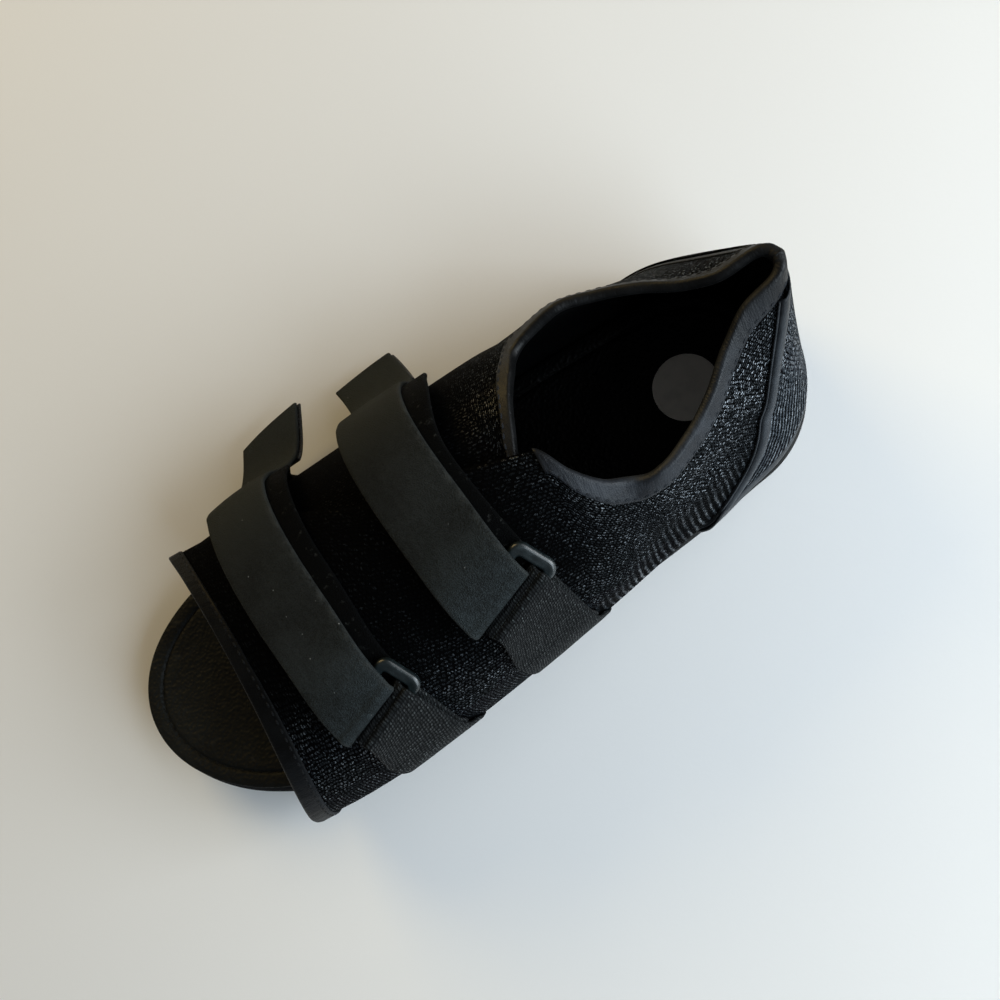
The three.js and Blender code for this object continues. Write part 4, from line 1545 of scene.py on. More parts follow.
@dataclass(frozen=True)
class Footbed:
    """Insole with a bound rim and a stitched groove inside it."""

    covered: float = 4.5
    bare: float = 1.0
    rim: float = 2.0
    groove: float = 5.6
    label_place: float = 7.0
    cover_drop: float = 0.35
    stitch_drop: float = 0.72
    stitched_from: float = 60.0

    def shelf(self, station: Array | float) -> Array:
        """Height of the flange that the rim lies on."""
        return LAST.sole_top(station) + LAST.wall + LAST.gap * 2

    def opened(self, station: Array | float) -> Array:
        """How far a station lies in the open toe, 0 to 1."""
        return smooth(LAST.front_base + 0.004, LAST.front_base + 0.02, station)

    def outline(self, inset: float, count: int = 150) -> tuple[Array, Array, Array]:
        """Closed outline at an inset from the footbed's own edge.

        Args:
            inset: distance from the edge.
            count: number of points on each side.

        Returns:
            Stations, x and y of the points, forward on the left and back on the right.
        """
        first = (self.covered + inset) / LAST.sole_length + 1e-5
        last = 1 - (self.bare + inset) / LAST.sole_length - 1e-5
        t = np.linspace(0, 1, count)
        s = mix(first, last, t - np.sin(2 * math.pi * t) * 0.15)
        edge = mix(self.covered, self.bare, self.opened(s)) + inset
        half = LAST.inset_half(s, edge)
        x, c = LAST.place_x(s), LAST.spine_y(s)
        both = np.concatenate([s, s[::-1]])
        ys = np.concatenate([c + half, (c - half)[::-1]])
        return both, np.concatenate([x, x[::-1]]), ys

    def dish(self, x: Array, y: Array) -> Array:
        """Depth pressed in by the foot under the heel and the ball.

        Args:
            x: places along the shoe.
            y: places across it.

        Returns:
            The depths.
        """
        heel = 0.7 * np.exp(-(((x - 4) / 26) ** 2) - ((y / 20) ** 2))
        ball = 0.8 * np.exp(-(((x - 138) / 34) ** 2) - (((y + 2) / 26) ** 2))
        toes = 0.35 * np.exp(-(((x - 196) / 14) ** 2) - (((y + 8) / 22) ** 2))
        return heel + ball + toes

    def build(self) -> None:
        """Make the footbed and its stitches."""
        rows = [
            (0.5, -9.0), (0.1, -8.0), (0.0, -7.0), (0.0, -0.75), (0.12, -0.4), (0.4, -0.12),
            (0.8, 0.0), (2.6, 0.04), (4.5, 0.0), (5.0, -0.18), (5.3, -0.62), (5.6, -0.85),
            (5.95, -0.66), (6.3, -0.28), (6.9, -0.1), (8.5, -0.16), (11, -0.25), (15, -0.32),
            (20, -0.35), (26, -0.35), (31, -0.35),
        ]
        rings, charts = [], []
        for inset, drop in rows:
            s, x, y = self.outline(inset)
            shelf = self.shelf(s)
            top = shelf + self.rim
            base = mix(shelf, LAST.sole_top(s) + LAST.gap, self.opened(s))
            if drop < -5:
                z = base + (drop + 9.0) * 0.15
            else:
                z = top + drop - self.dish(x, y) * smooth(5.0, 12.0, inset)
            rings.append(np.stack([x, y, z], axis=-1))
            charts.append(np.stack([x, y], axis=-1))
        grid, chart = np.stack(rings), np.stack(charts)
        chart = np.concatenate([chart, chart[:, :1]], axis=1)
        surface = Surface()
        surface.add_tube(grid, chart)
        piece = surface.build("insole_board", [GrainedCover().build()])
        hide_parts("footbed")
        self.stitch()

    def stitch(self) -> None:
        """Sew the cover along its groove."""
        s, x, y = self.outline(self.groove, 260)
        z = self.shelf(s) + self.rim - self.stitch_drop
        line = np.stack([x, y, z], axis=-1)
        forward = line[:, 0] > self.stitched_from
        surface = Surface()
        up = np.broadcast_to(np.array([0.0, 0.0, 1.0]), line.shape)
        Stitching(2.0, 3.4, 0.34, 0.2).add(surface, line[forward], up[forward])
        thread = Thread("insole_thread", (0.0025, 0.0025, 0.0023), (0.009, 0.009, 0.008))
        piece = surface.build("insole_stitches", [thread.build()])

    def label(self) -> None:
        """Make the bare round sticker on the heel."""
        radii = np.array([0, 3, 6, 8.5, 10.2, 10.8, 11.0, 11.0])
        drops = np.array([0, 0, 0, 0, 0.02, 0.06, 0.12, 0.3])
        count = 72
        angle = np.linspace(0, 2 * math.pi, count, endpoint=False)
        c = float(LAST.spine_y(LAST.station_of(self.label_place)))
        x = self.label_place + radii[:, None] * np.cos(angle)
        y = c + radii[:, None] * np.sin(angle)
        s = LAST.station_of(x)
        cover = self.shelf(s) + self.rim - self.cover_drop - self.dish(x, y)
        z = cover + drops[-1] - drops[:, None]
        curl = 0.25 * smooth(6, 11, radii)[:, None] * np.sin(angle * 3 + 0.6) ** 2
        grid = np.stack([x, y, z + curl * (drops[:, None] < 0.2)], axis=-1)
        chart = np.concatenate([grid, grid[:, :1]], axis=1)[..., :2]
        surface = Surface()
        start = surface.add_grid(grid, chart)
        surface.add_zip(start + (len(radii) - 1) * count, count, chart[-1], flip=True)
        piece = surface.build("heel_sticker", [Sticker().build()])
        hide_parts("heel_label")


# ---- upper -----------------------------------------------------------------------------------


@dataclass(frozen=True)
class Upper:
    """Hollow mesh upper with its lapped flaps, bindings and heel panel."""

    left_corner: float = 0.3837
    right_corner: float = 0.4145
    tape_width: float = 6.5
    seam_width: float = 5.0
    seam_thickness: float = 0.6
    tape_gap: float = 0.12
    tape_steps: tuple[float, ...] = (0, 0.8, 1.8, 3.0, 4.2, 5.2, 5.8, 6.2, 6.5)
    seam_low: float = 2.4
    panel_thickness: float = 1.0

    def build(self) -> None:
        """Make every piece of the upper."""
        turns = upper_turns((self.left_corner, self.right_corner), 150)
        self.shell(turns)
        self.collar(turns)
        self.front(1, LAST.bulge_row - 1, LAST.top_row)
        self.front(-1, LAST.bulge_row - 1, LAST.top_row - 4)
        self.heel_panel()
        for side in (1, -1):
            self.seam(side)

    def shell(self, turns: Array) -> None:
        """Make the hollow shell, mesh outside and lining inside.

        Args:
            turns: turn angles of the rings.
        """
        low = np.linspace(1, LAST.bulge_row, 11)
        high = np.linspace(LAST.bulge_row, LAST.top_row, 61)[1:]
        rows = np.concatenate([[0, 0.5], low, high])
        half = LAST.wall / 2
        t, r = turns[:, None], rows[None]
        outer, inner = LAST.skin(t, r, half), LAST.skin(t, r, -half)
        along = run_lengths(LAST.plain_point(turns, np.full_like(turns, 6.0)))
        rise = np.mean(run_lengths(np.swapaxes(outer, 0, 1)), axis=1)
        back = rise[-1] * 2 + 4 - rise[::-1]
        across = np.concatenate([rise, back, [back[-1] + 2]])
        rings = np.concatenate([outer, inner[:, ::-1]], axis=1)
        surface = Surface()
        surface.add_tube(rings, even_chart(along, across))
        lined = ([0] * len(rows) + [1] * len(rows)) * (len(turns) - 1)
        surface.slots[: len(lined)] = lined
        mesh = SpacerMesh("upper_mesh", Knit.QUARTER).build()
        piece = surface.build("upper_shell", [mesh, Lining().build()])
        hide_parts("upper")

    def tape_rings(self, edge: Array, down: Array, normal: Array) -> Array:
        """Closed rings of a tape folded over an edge.

        Args:
            edge: points of the middle surface from the edge inwards, rows along the tape.
            down: distances of those points from the edge.
            normal: outward normals of those points.

        Returns:
            The rings.
        """
        near = LAST.wall / 2 + self.tape_gap
        far = near + LAST.tape_thickness
        out = unit(edge[:, 0] - edge[:, 1])
        taper = 1 - 0.5 * smooth(self.tape_width - 0.8, self.tape_width, down)
        outer = near + (far - near) * taper

        def arc(radius: float, count: int) -> Array:
            """Half round over the edge, from the outer face to the inner one.

            Args:
                radius: distance from the middle surface.
                count: number of points.

            Returns:
                The points.
            """
            a = np.radians(np.linspace(90, -90, count + 2)[1:-1])[None, :, None]
            lift = normal[:, :1] * np.sin(a) * radius
            return edge[:, :1] + out[:, None] * np.cos(a) * radius * 0.8 + lift

        front = edge + normal * outer[None, :, None]
        front_in = edge + normal * near
        back = edge - normal * outer[None, :, None]
        back_in = edge - normal * near
        parts = [
            front[:, ::-1], arc(far, 6), back, back_in[:, ::-1], arc(near, 6)[:, ::-1], front_in,
        ]
        return np.concatenate(parts, axis=1)

    def lay_tape(self, name: str, node: str, edge: Array, normal: Array, down: Array) -> None:
        """Make a folded tape and the stitches along it.

        Args:
            name: name of the tape's piece.
            node: the part's node that it stands for.
            edge: points of the middle surface from the edge inwards.
            normal: outward normals of those points.
            down: distances of those points from the edge.
        """
        rings = self.tape_rings(edge, down, normal)
        chart = even_chart(run_lengths(edge[:, 0]), run_across(rings).mean(axis=0))
        surface = Surface()
        surface.add_tube(rings, chart)
        front = name.startswith("front")
        # The front tapes carry painted shade over most of their length.
        look = {"lit_from": 0.032, "shine": 0.08} if front else {}
        piece = surface.build(name, [SatinTape(f"{name}_satin", **look).build()])
        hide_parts(node)
        lift = LAST.wall / 2 + self.tape_gap + LAST.tape_thickness * 0.9
        k = int(np.argmin(np.abs(down - (self.tape_width - 1.3))))
        surface = Surface()
        line = edge[:, k] + normal[:, k] * lift
        Stitching().add(surface, line, normal[:, k])
        stitches = surface.build(f"{name}_stitches", [self.thread(name, front).build()])

    def thread(self, name: str, dark: bool) -> Thread:
        """Thread of a tape.

        Args:
            name: name of the tape.
            dark: whether it is the front edge's thread, painted darker as shade.

        Returns:
            The finish.
        """
        # Painted shade: the front edge's thread is darker.
        if dark:
            return Thread(f"{name}_thread", (0.003, 0.0032, 0.0036), (0.010, 0.011, 0.012))
        return Thread(f"{name}_thread")

    def collar(self, turns: Array) -> None:
        """Bind the collar and the throat of both flaps.

        Args:
            turns: turn angles of the shell's rings.
        """
        first = float(LAST.turn_at(self.left_corner))
        last = -float(LAST.turn_at(self.right_corner))
        t = turns[(turns <= first + 1e-6) & (turns >= last - 1e-6)]
        dense = np.interp(np.linspace(0, len(t) - 1, len(t) * 2 - 1), np.arange(len(t)), t)
        down = np.array(self.tape_steps)
        top = np.full_like(dense, LAST.top_row)
        row_length = np.linalg.norm(LAST.skin(dense, top) - LAST.skin(dense, top - 1), axis=-1)
        slim = mix(1.0, 0.55, smooth(0.9, 0.0, dense) * smooth(-2.6, -2.0, dense))
        rows = LAST.top_row - down[None] * slim[:, None] / row_length[:, None]
        edge = LAST.skin(dense[:, None], rows)
        normal = LAST.normal(dense[:, None], rows)
        self.lay_tape("collar_tape", "collar_binding", edge, normal, down)

    def front(self, side: int, low: float, high: float) -> None:
        """Bind the front edge of one side.

        Args:
            side: 1 for the ring side and -1 for the other.
            low: first row.
            high: last row.
        """
        rows = np.linspace(low, high, 110)
        down = np.array(self.tape_steps)
        start = LAST.front_turn * side
        step = 0.02
        here = LAST.skin(np.full_like(rows, start), rows)
        behind = LAST.skin(np.full_like(rows, start - side * step), rows)
        speed = np.linalg.norm(here - behind, axis=-1)
        turn = start - side * down[None] * step / speed[:, None]
        edge = LAST.skin(turn, rows[:, None])
        normal = LAST.normal(turn, rows[:, None])
        word = "left" if side > 0 else "right"
        self.lay_tape(f"front_tape_{word}", f"front_binding_{word}", edge, normal, down)

    def seam_turn(self, row: Array | float) -> Array:
        """Turn angle of the heel seam at a row."""
        return SEAM_LINE("turn", np.asarray(row) / LAST.top_row)

    def turn_speed(self, turn: Array, row: Array) -> Array:
        """Millimetres along the outline for one unit of turn.

        Args:
            turn: turn angles.
            row: rows of the upper.

        Returns:
            The speeds.
        """
        step = 0.02
        ahead, behind = LAST.plain_point(turn + step, row), LAST.plain_point(turn - step, row)
        return np.linalg.norm(ahead - behind, axis=-1) / (2 * step)

    def row_below_tape(self, turn: Array) -> Array:
        """Highest row left free below the collar's tape.

        Args:
            turn: turn angles.

        Returns:
            The rows.
        """
        top = np.full_like(np.asarray(turn, float), LAST.top_row)
        step = LAST.plain_point(turn, top) - LAST.plain_point(turn, top - 1)
        return LAST.top_row - (self.tape_width + 0.4) / np.linalg.norm(step, axis=-1)

    def heel_panel(self) -> None:
        """Make the stiff panel between the seams and the smooth band along its foot."""
        across = np.linspace(1, -1, 91)[:, None]
        share = np.linspace(0, 1, 46)[None]
        first = self.seam_turn(mix(self.seam_low, LAST.top_row, share))
        high = self.row_below_tape(first * across)
        row = mix(self.seam_low + 0.2, high, share)
        turn = self.seam_turn(row)
        reach = turn - (self.seam_width * 0.9) / self.turn_speed(turn, row)
        lift = 0.2 + self.panel_thickness / 2
        grid = LAST.face(across * reach, row, lift)
        surface = Surface()
        add_sheet(surface, grid, self.panel_thickness / 2)
        # The heel mesh gets paler painted glints.
        mesh = SpacerMesh(
            "heel_mesh", Knit.RIBS, rib=1.9, yarn=(0.050, 0.061, 0.074), worn_and_glint=(0.24, 0.28, 0.32)
        )
        piece = surface.build("heel_panel", [mesh.build()])
        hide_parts("heel_counter")
        low = np.linspace(self.seam_low - 0.2, self.seam_low + 2.1, 9)[None]
        turn = self.seam_turn(low)
        reach = turn + 0.02
        swell = 0.5 * np.sin(np.linspace(0.15, math.pi - 0.15, 9))[None]
        out = self.panel_thickness - 0.6 + 1.2 * np.abs(across) ** 3
        grid = LAST.face(across * reach, low, out + swell)
        surface = Surface()
        add_sheet(surface, grid, 0.35)
        satin = SatinTape("heel_band_satin", (0.016, 0.018, 0.021), (0.038, 0.042, 0.048))
        band = surface.build("heel_band", [satin.build()])

    def seam(self, side: int) -> None:
        """Make the raised tape of one heel seam, with the dark slot on its forward side.

        Args:
            side: 1 for the ring side and -1 for the other.
        """
        share = np.linspace(0, 1, 90)
        high = float(self.row_below_tape(self.seam_turn(LAST.top_row - 1)))
        row = mix(self.seam_low, high, share)[:, None]
        turn = self.seam_turn(row)
        width = self.seam_width / self.turn_speed(turn, row)
        steps = np.array([-0.04, 0.04, 0.1, 0.15, 0.24, 0.3, 0.42, 0.62, 0.86, 1.12, 1.3])[None]
        rise = np.array([0.75, 1.0, 0.8, 0.1, 0.1, 1.25, 1.7, 1.75, 1.6, 1.35, 1.05])[None]
        fade = smooth(0, 0.08, share)[:, None] * 0.4 + 0.6 if side > 0 else 0.12
        grid = LAST.face(side * (turn - width * steps), row, rise * fade)
        surface = Surface()
        add_sheet(surface, grid, self.seam_thickness / 2)
        word = "left" if side > 0 else "right"
        colours = (0.016, 0.019, 0.023), (0.042, 0.048, 0.056)
        satin = SatinTape(f"heel_tape_{word}_satin", *colours)
        piece = surface.build(f"heel_tape_{word}", [satin.build()])
        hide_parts(f"heel_seam_{word}")


# ---- straps ----------------------------------------------------------------------------------


class Position(Enum):
    """Which of the two straps."""

    FRONT = "front"
    REAR = "rear"


@dataclass(frozen=True)
class StrapPlan:
    """Where a strap lies, how its free end falls and how far that end is cut back."""

    place: float
    ring: float
    free_end: tuple[tuple[float, float, float], ...]
    peek_far: float
    peek_top: float
    cut: float
    slant: float = -0.1
    tilt: float = 0.1
    leave: float = 2.42
    start: float = 3.1


STRAP_PLANS = {
    Position.FRONT: StrapPlan(
        0.659,
        1.02,
        (
            (-0.05, -0.09, 0.005), (-0.085, -0.2, 0.015), (-0.13, -0.31, 0.03),
            (-0.19, -0.4, 0.055), (-0.27, -0.455, 0.085), (-0.36, -0.49, 0.12),
            (-0.45, -0.52, 0.155),
        ),
        7.5,
        6.5,
        5.0,
    ),
    Position.REAR: StrapPlan(
        0.447,
        1.04,
        (
            (-0.06, -0.1, 0.0), (-0.1, -0.22, -0.004), (-0.14, -0.34, -0.012),
            (-0.2, -0.45, -0.025), (-0.28, -0.54, -0.045), (-0.37, -0.61, -0.065),
            (-0.45, -0.66, -0.085),
        ),
        8.5,
        3.6,
        1.0,
    ),
}


@dataclass(frozen=True)
class StrapSet:
    """One strap with its hook patch, its ring and the webbing loop that holds the ring."""

    which: Position
    width: float = 25.4
    thickness: float = 1.7
    webbing: float = 1.5
    webbing_width: float = 26.4
    webbing_shift: float = 1.6
    ring_bar: float = 3.2
    ring_thickness: float = 2.6
    ring_span: float = 15.0
    end_bar: float = 4.2
    drawn_bar: float = 2.2
    ring_rise: float = 2.8
    bar_shift: float = 0.55
    ring_shift: float = 3.4
    hook_length: float = 22.0
    hook_thickness: float = 1.4
    heel_draw: float = 3.9
    toe_draw: float = 4.9
    far_lift: float = 1.6
    ring_room: float = 1.6
    toe_cut: float = 4.6
    opening_cut: float = 5.0
    webbing_reach: float = 12.6
    webbing_offset: float = 2.2
    band_rows: int = 330
    band_columns: int = 11
    top_row: int = 250
    webbing_rows: int = 190

    @property
    def plan(self) -> StrapPlan:
        """Plan of this strap."""
        return STRAP_PLANS[self.which]

    @property
    def turn_radius(self) -> float:
        """Radius of the strap's turn round the bar."""
        return self.ring_thickness / 2 + LAST.gap * 2 + self.thickness / 2

    @property
    def webbing_radius(self) -> float:
        """Radius of the webbing's turn round the lower bar."""
        return self.ring_thickness / 2 + LAST.gap + self.webbing / 2 + 0.1

    @property
    def bar_spread(self) -> float:
        """Distance from the strap's turn to the webbing's."""
        return self.ring_span - self.ring_bar * 2 + self.bar_shift * 2

    @property
    def slack(self) -> float:
        """How far the strap's fold hangs below the bar."""
        taken = self.webbing_radius + self.webbing / 2 + self.turn_radius + self.thickness / 2
        return self.bar_spread - taken - LAST.gap

    @property
    def layer_lift(self) -> float:
        """Height of the first layer's middle over the upper."""
        return LAST.gap * 1.8 + self.thickness / 2

    @property
    def layer_step(self) -> float:
        """Height of the second layer over the first."""
        return self.thickness + LAST.gap

    def layer_point(self, x: float, angle: float, lift: float) -> Array:
        """Point over the closed upper at x and an angle round it.

        Args:
            x: place along the shoe.
            angle: angle round the upper.
            lift: distance outward.

        Returns:
            The point.
        """
        station = float(LAST.station_of(x))
        edge = float(OUTER_FLAP("edge", station + 0.03))
        lap_end = math.acos(math.copysign(abs(edge) ** (LAST.roundness / 2), edge))
        settled = max(lap_end + 0.4, math.pi - 0.15)
        fade = smooth(-0.05, 0.36, angle / lap_end) * (1 - smooth(lap_end + 0.05, settled, angle))
        grow = LAST.lap_rise * float(fade) + LAST.wall / 2 + lift
        return LAST.section_point(station, 1.0, angle, grow)

    def frame_at(self, x: float, angle: float, lift: float) -> tuple[Array, Array, Array]:
        """Point over the upper with the directions down the near side and outward.

        Args:
            x: place along the shoe.
            angle: angle round the upper.
            lift: distance outward.

        Returns:
            The point and the two directions.
        """
        point = self.layer_point(x, angle, lift)
        below = self.layer_point(x, angle - 0.01, lift)
        down = unit(below - self.layer_point(x, angle + 0.01, lift))
        return point, down, np.array([0.0, -down[2], down[1]])

    def line(self, edge: float) -> tuple[Array, int]:
        """Middle line of the strap at a share of its half width.

        Args:
            edge: -1 at the heel side and 1 at the toe side.

        Returns:
            The points, and the index of the turn among them.
        """
        plan = self.plan
        middle = plan.place * LAST.sole_length - LAST.heel_back
        bar_angle = plan.ring - plan.tilt * edge / 2
        lean = plan.tilt * LAST.upper_width / 2 / self.width
        share = (edge + 1) / 2
        drawn_in = float(mix(self.heel_draw, self.toe_draw, share))
        sewn = plan.start

        def x_at(angle: float) -> float:
            """Place along the shoe at an angle round it."""
            y = LAST.section_point(plan.place, 1.0, angle, LAST.lap_rise)[1]
            return float(middle + edge * self.width / 2 + plan.slant * y)

        def drawn(angle: float) -> float:
            """How far the first layer lies toward the heel.

            Args:
                angle: angle round the upper.

            Returns:
                The distance.
            """
            far = mix(plan.peek_top, plan.peek_far, smooth(1.7, 2.3, angle))
            over = mix(drawn_in, far, smooth(bar_angle + 0.05, bar_angle + 0.55, angle))
            return float(over * smooth(3.0, 2.5, angle))

        points = []
        first = self.layer_point(x_at(sewn), sewn, self.layer_lift)
        points.append(first + np.array([0, 0, -LAST.bulge_rise * 0.55]))
        steps = 17
        for i in range(steps + 1):
            angle = mix(sewn, bar_angle, i / steps)
            swell = float(smooth(1.6, 2.3, angle) * smooth(2.9, 2.5, angle))
            lift = self.layer_lift + self.far_lift * swell
            points.append(self.layer_point(x_at(angle) - drawn(angle), angle, lift))
        bar_x, bar_lift = x_at(bar_angle) - drawn_in, self.layer_lift + self.turn_radius
        place, down, out = self.frame_at(bar_x, bar_angle, bar_lift)
        turn_at = len(points) + 3
        for i in range(7):
            a = math.pi * i / 6
            hang = self.slack + math.sin(a) * self.turn_radius
            p = place - out * math.cos(a) * self.turn_radius + down * hang
            p[0] += drawn_in * float(smooth(0.0, 0.42, i / 6)) - lean * hang * 0.5
            points.append(p)
        for i in range(steps + 1):
            angle = mix(bar_angle, plan.leave, i / steps)
            near = 1 - float(smooth(bar_angle + 0.05, bar_angle + 0.5, angle))
            wide = (self.turn_radius * 2 - self.layer_step) * near
            rise = self.far_lift * float(smooth(1.6, 2.35, angle))
            lift = self.layer_lift + self.layer_step + wide
            last = self.layer_point(x_at(angle), angle, lift)
            points.append(self.layer_point(x_at(angle), angle, lift + rise))
        outward = points[-1] - last
        parts = len(plan.free_end)
        for k, (side, drop, drift) in enumerate(plan.free_end):
            step = np.array([plan.slant * side * 0.6 - drift, side, drop])
            points.append(last + step * LAST.instep_height + outward * (1 - (k + 1) / parts) ** 2)
        return np.array(points), turn_at

    def ring_frame(self) -> tuple[Array, Array, Array, Array]:
        """Middle of the ring's upper bar with directions along it, down the side and outward.

        Returns:
            The point and the three directions.
        """
        plan = self.plan
        middle = plan.place * LAST.sole_length - LAST.heel_back
        lift = self.layer_lift + self.turn_radius

        def bar_end(edge: float, draw: float) -> tuple[Array, Array]:
            """Point of the bar at one edge of the strap, with the direction down the side.

            Args:
                edge: -1 at the heel side and 1 at the toe side.
                draw: distance toward the heel.

            Returns:
                The point and the direction.
            """
            angle = plan.ring - plan.tilt * edge / 2
            y = LAST.section_point(plan.place, 1.0, angle, LAST.lap_rise)[1]
            x = float(middle + edge * self.width / 2 + plan.slant * y) - draw
            point, down, _ = self.frame_at(x, angle, lift)
            return point, down

        heel, down = bar_end(-1.0, 0.0)
        toe, _ = bar_end(1.0, self.toe_draw)
        u = unit(toe - heel)
        origin = (heel + toe) / 2 - u * self.ring_shift / 2
        n = unit(np.cross(u, down))
        n = n if n[1] > 0 else -n
        d = unit(np.cross(n, u))
        return origin, u, (d if d[2] < 0 else -d), n

    def build(self) -> None:
        """Make the strap, its hook patch, its ring and its webbing."""
        grid = self.band()
        self.hook(grid)
        self.ring()
        self.loop()

    def upward(self, normal: Array) -> float:
        """Sign that makes the band's normals point up on its top layer."""
        return float(np.sign(normal[self.top_row, self.band_columns // 2, 2]))

    def band(self) -> Array:
        """Make the strap and return the grid of its middle surface.

        Returns:
            The grid, rows along the strap.
        """
        edges = np.linspace(-1, 1, self.band_columns)
        lines = [self.line(float(e)) for e in edges]
        turn_at = lines[0][1]
        a, b = lines[0][0], lines[-1][0]
        index = np.arange(len(a))
        straight = 1 - smooth(3.5, 7.0, np.abs(index - turn_at))
        columns = []
        for e, (points, _) in zip(edges, lines):
            flat = mix(a, b, (e + 1) / 2)
            columns.append(mix(points, flat, straight[:, None]))
        grid = refine(np.stack(columns, axis=1), self.band_rows)
        normal = grid_normals(grid)
        run = run_lengths(grid[:, self.band_columns // 2])
        wave = np.sin(run / 13.0 + (0.4 if self.which is Position.FRONT else 2.1)) * 0.22
        crown = -0.28 * edges[None] ** 2 + wave[:, None] * edges[None]
        top = smooth(0.5, 0.62, np.linspace(0, 1, self.band_rows))[:, None]
        grid = grid + normal * (crown * self.upward(normal) * top)[..., None]
        tail = smooth(run[-1] - 30, run[-1], run)
        for k, e in enumerate(edges):
            kept = run - self.plan.cut * (e + 1) / 2 * tail
            grid[:, k] = np.stack([np.interp(kept, run, grid[:, k, c]) for c in range(3)], axis=-1)
        surface = Surface()
        add_sheet(surface, grid, self.thickness / 2)
        name = f"{self.which.value}_strap"
        fold = float(run[round(turn_at / (len(a) - 1) * (len(grid) - 1))])
        cloth = BrushedStrap(f"{name}_loop_cloth", fold, self.width)
        piece = surface.build(f"{name}_band", [cloth.build()])
        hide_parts(name)
        return grid

    def hook(self, grid: Array) -> None:
        """Make the hook patch under the free end.

        Args:
            grid: middle surface of the strap.
        """
        run = run_lengths(grid[:, self.band_columns // 2])
        part = grid[run > run[-1] - self.hook_length]
        inset = 1.2 / self.width
        across = np.linspace(-0.5 / self.width, 1 - inset, 7)
        columns = [mix(part[:, 0], part[:, -1], float(t)) for t in across]
        patch = np.stack(columns, axis=1)
        down = -grid_normals(patch) * self.upward(grid_normals(grid))
        depth = self.thickness / 2 + 0.05 + self.hook_thickness / 2
        surface = Surface()
        add_sheet(surface, patch + down * depth, self.hook_thickness / 2)
        name = f"{self.which.value}_hook"
        piece = surface.build(f"{name}_patch", [HookPatch(f"{name}_black").build()])
        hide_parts(name)

    def ring(self) -> None:
        """Make the rounded plastic ring."""
        origin, u, d, n = self.ring_frame()
        outer_half = (self.width + self.ring_room + self.ring_bar * 2) / 2
        inner_wide = self.width - self.opening_cut
        start = self.drawn_bar - outer_half
        outer = self.rounded(start, outer_half - self.toe_cut, 0.0, self.ring_span, 3.6)
        heel = start + self.end_bar
        bar = self.ring_bar
        inner = self.rounded(heel, heel + inner_wide, bar, self.ring_span - bar, 1.0)
        a = np.linspace(0, 2 * math.pi, 24, endpoint=False)
        power = 0.55
        share = np.sign(np.cos(a)) * np.abs(np.cos(a)) ** power
        lift = np.sign(np.sin(a)) * np.abs(np.sin(a)) ** power * self.ring_thickness / 2
        ridge = np.exp(-(((share - 0.55) / 0.16) ** 2))
        ridge = ridge + 0.6 * np.exp(-(((share + 0.6) / 0.16) ** 2))
        lift = lift + 0.3 * ridge * (lift > 0.6)
        middle, half = (outer + inner) / 2, (outer - inner) / 2
        spot = middle[:, None] + half[:, None] * share[None, :, None]
        centre = origin + d * (self.bar_shift - self.ring_bar / 2 - self.ring_rise)
        rings = centre + spot[..., :1] * u + spot[..., 1:] * d + lift[None, :, None] * n
        rings = np.concatenate([rings, rings[:1]])
        surface = Surface()
        surface.add_grid(rings, even_chart(np.linspace(0, 84, len(rings)), np.linspace(0, 9, 25)))
        name = f"{self.which.value}_ring"
        piece = surface.build(f"{name}_frame", [MouldedPlastic(f"{name}_plastic").build()])
        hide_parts(name)

    @staticmethod
    def rounded(x0: float, x1: float, y0: float, y1: float, r: float) -> Array:
        """Outline of a rounded rectangle, points evenly shared between its parts.

        Args:
            x0: start along the bar.
            x1: end along the bar.
            y0: upper side.
            y1: lower side.
            r: radius of the corners.

        Returns:
            The points, in order round the outline.
        """
        path = []
        corners = [
            (x1 - r, y0 + r, -90), (x1 - r, y1 - r, 0),
            (x0 + r, y1 - r, 90), (x0 + r, y0 + r, 180),
        ]
        for k, (cx, cy, start) in enumerate(corners):
            turn = np.radians(start + np.linspace(0, 90, 9))
            path.append(np.stack([cx + r * np.cos(turn), cy + r * np.sin(turn)], axis=-1))
            nx, ny, begin = corners[(k + 1) % 4]
            a = math.radians(begin)
            end = np.array([nx + r * math.cos(a), ny + r * math.sin(a)])
            t = np.linspace(0, 1, 14)[1:-1, None]
            path.append(mix(path[-1][-1][None], end[None], t))
        return np.concatenate(path)

    def loop(self) -> None:
        """Make the webbing loop that holds the ring."""
        origin, u, d, n = self.ring_frame()
        radius = self.webbing_radius
        centre = origin + d * (self.bar_spread - self.ring_rise)
        lift = LAST.gap * 1.8 + self.webbing / 2
        flat = LAST.gap + self.webbing * 0.25
        meet = self.plan.ring - 0.5
        steps = 9

        def column(edge: float) -> Array:
            """Line of the webbing at a share of its half width.

            Args:
                edge: -1 at the heel side and 1 at the toe side.

            Returns:
                The points.
            """
            across = edge * self.webbing_width / 2 + self.webbing_shift * (edge + 1) / 2
            bar = centre + u * (edge * self.webbing_reach + self.webbing_offset)
            x = float(origin[0] + across)
            points = []
            low = self.layer_point(x, 0.04, flat)
            points.append(low + np.array([0, -1.0, -LAST.bulge_rise * 0.5]))
            for i in range(steps + 1):
                angle = mix(0.04, meet, i / steps)
                away = float(smooth(meet - 0.45, meet - 0.1, angle)) * (self.webbing + LAST.gap)
                own = mix(flat, lift, float(smooth(0.04, 0.3, angle)))
                points.append(self.layer_point(x, angle, own + away))
            points.append(bar + n * radius + d * self.ring_bar)
            for i in range(7):
                a = math.pi * i / 6
                points.append(bar + n * math.cos(a) * radius - d * math.sin(a) * radius)
            points.append(bar - n * radius + d * self.ring_bar)
            for i in range(1, 4):
                points.append(self.layer_point(x, mix(meet, meet - 0.2, i / 3), lift))
            return np.array(points)

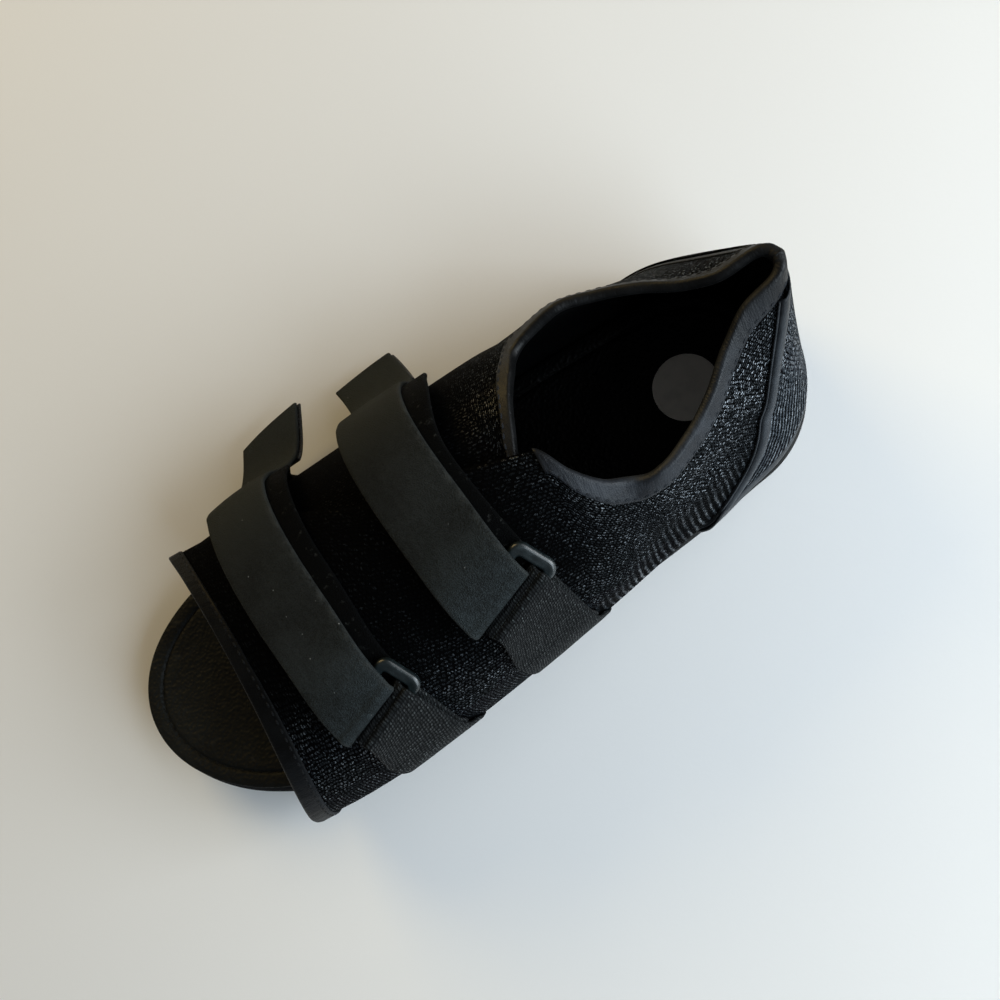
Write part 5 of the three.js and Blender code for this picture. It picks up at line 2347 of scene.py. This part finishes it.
        edges = np.linspace(-1, 1, 9)
        a, b = column(-1), column(1)
        lines = []
        for e in edges:
            own = column(float(e))
            share = smooth(8, 11, np.arange(len(own)))[:, None]
            lines.append(mix(own, mix(a, b, (e + 1) / 2), share))
        grid = refine(np.stack(lines, axis=1), self.webbing_rows)
        surface = Surface()
        thick = self.webbing / 2 * (0.5 + 0.5 * smooth(0, 30, np.arange(self.webbing_rows)))
        add_sheet(surface, grid, thick[:, None])
        name = f"{self.which.value}_webbing"
        pick, end = (1.35, 1.15) if self.which is Position.FRONT else (1.0, 0.92)
        piece = surface.build(f"{name}_band", [WovenElastic(f"{name}_weave", pick, end).build()])
        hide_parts(name)


# ---- studio ----------------------------------------------------------------------------------


@dataclass(frozen=True)
class Studio:
    """Floor, lights and the camera at the photograph's angle."""

    camera_place: tuple[float, float, float] = (-5.19, 97.24, 412.22)
    pan: float = 2.5463
    roll_x: float = -0.093
    roll_y: float = -0.3061
    lens: float = 45.15

    def build(self) -> None:
        """Make the floor, the lights and the camera."""
        self.floor()
        middle, heel = (0.1, 0.0, 0.0), (0.0, 0.03, 0.03)
        self.light("window_light", (-0.46, 0.80, 0.56), middle, 0.9, 13.4, (0.79, 0.915, 1.0))
        self.light("warm_light", (0.32, -1.25, 0.75), middle, 0.8, 9.5, (1.0, 0.74, 0.32))
        self.light("heel_light", (-0.62, 0.34, 0.38), heel, 0.35, 3.8, (0.90, 0.96, 1.0))
        self.light("back_light", (-1.1, -0.05, 0.9), middle, 0.9, 4.0, (0.94, 0.97, 1.0))
        world = bpy.data.worlds.new("soft_room")
        world.use_nodes = True
        back = world.node_tree.nodes["Background"]
        back.inputs["Color"].default_value = (0.95, 0.97, 1.0, 1.0)
        back.inputs["Strength"].default_value = 0.1
        bpy.context.scene.world = world
        bpy.context.scene.view_settings.view_transform = "Standard"
        self.camera()

    def floor(self) -> None:
        """Make the plain floor."""
        side = 3.0
        data = bpy.data.meshes.new("floor")
        corners = [(-side, -side, 0), (side, -side, 0), (side, side, 0), (-side, side, 0)]
        data.from_pydata(corners, [], [(0, 1, 2, 3)])
        data.materials.append(PaintedFloor().build())
        floor = bpy.data.objects.new("floor", data)
        bpy.context.scene.collection.objects.link(floor)

    def light(
        self,
        name: str,
        place: tuple[float, float, float],
        target: tuple[float, float, float],
        size: float,
        power: float,
        colour: Colour,
    ) -> None:
        """Hang one soft square light.

        Args:
            name: name of the light.
            place: where it hangs, in metres.
            target: what it faces, in metres.
            size: side of its face, in metres.
            power: watts.
            colour: colour of its light.
        """
        lamp = bpy.data.lights.new(name, "AREA")
        lamp.size = size
        lamp.energy = power
        lamp.color = colour
        holder = bpy.data.objects.new(name, lamp)
        holder.location = place
        aim = Vector(target) - Vector(place)
        holder.rotation_euler = aim.to_track_quat("-Z", "Y").to_euler()
        bpy.context.scene.collection.objects.link(holder)

    def camera(self) -> None:
        """Set the camera up as the photograph shows the shoe."""
        cp, sp = math.cos(self.pan), math.sin(self.pan)
        cy, sy = math.cos(self.roll_y), math.sin(self.roll_y)
        cx, sx = math.cos(self.roll_x), math.sin(self.roll_x)
        level = np.array([[cp, sp, 0], [-sp, cp, 0], [0, 0, 1]])
        tilt_y = np.array([[cy, 0, sy], [0, 1, 0], [-sy, 0, cy]])
        tilt_x = np.array([[1, 0, 0], [0, cx, -sx], [0, sx, cx]])
        turn = (tilt_y @ tilt_x @ level).T
        lens = bpy.data.cameras.new("camera")
        lens.sensor_width = 36
        lens.lens = self.lens
        lens.clip_start = 0.01
        holder = bpy.data.objects.new("camera", lens)
        matrix = Matrix(turn.tolist()).to_4x4()
        matrix.translation = Vector(self.camera_place) * MM
        holder.matrix_world = matrix
        bpy.context.scene.collection.objects.link(holder)
        bpy.context.scene.camera = holder


def main() -> None:
    """Build the shoe piece by piece."""
    logging.basicConfig(level=logging.INFO, format="%(name)s: %(message)s")
    Studio().build()
    Outsole().build()
    footbed = Footbed()
    footbed.build()
    footbed.label()
    Upper().build()
    for which in Position:
        StrapSet(which).build()


if __name__ == "__main__":
    main()
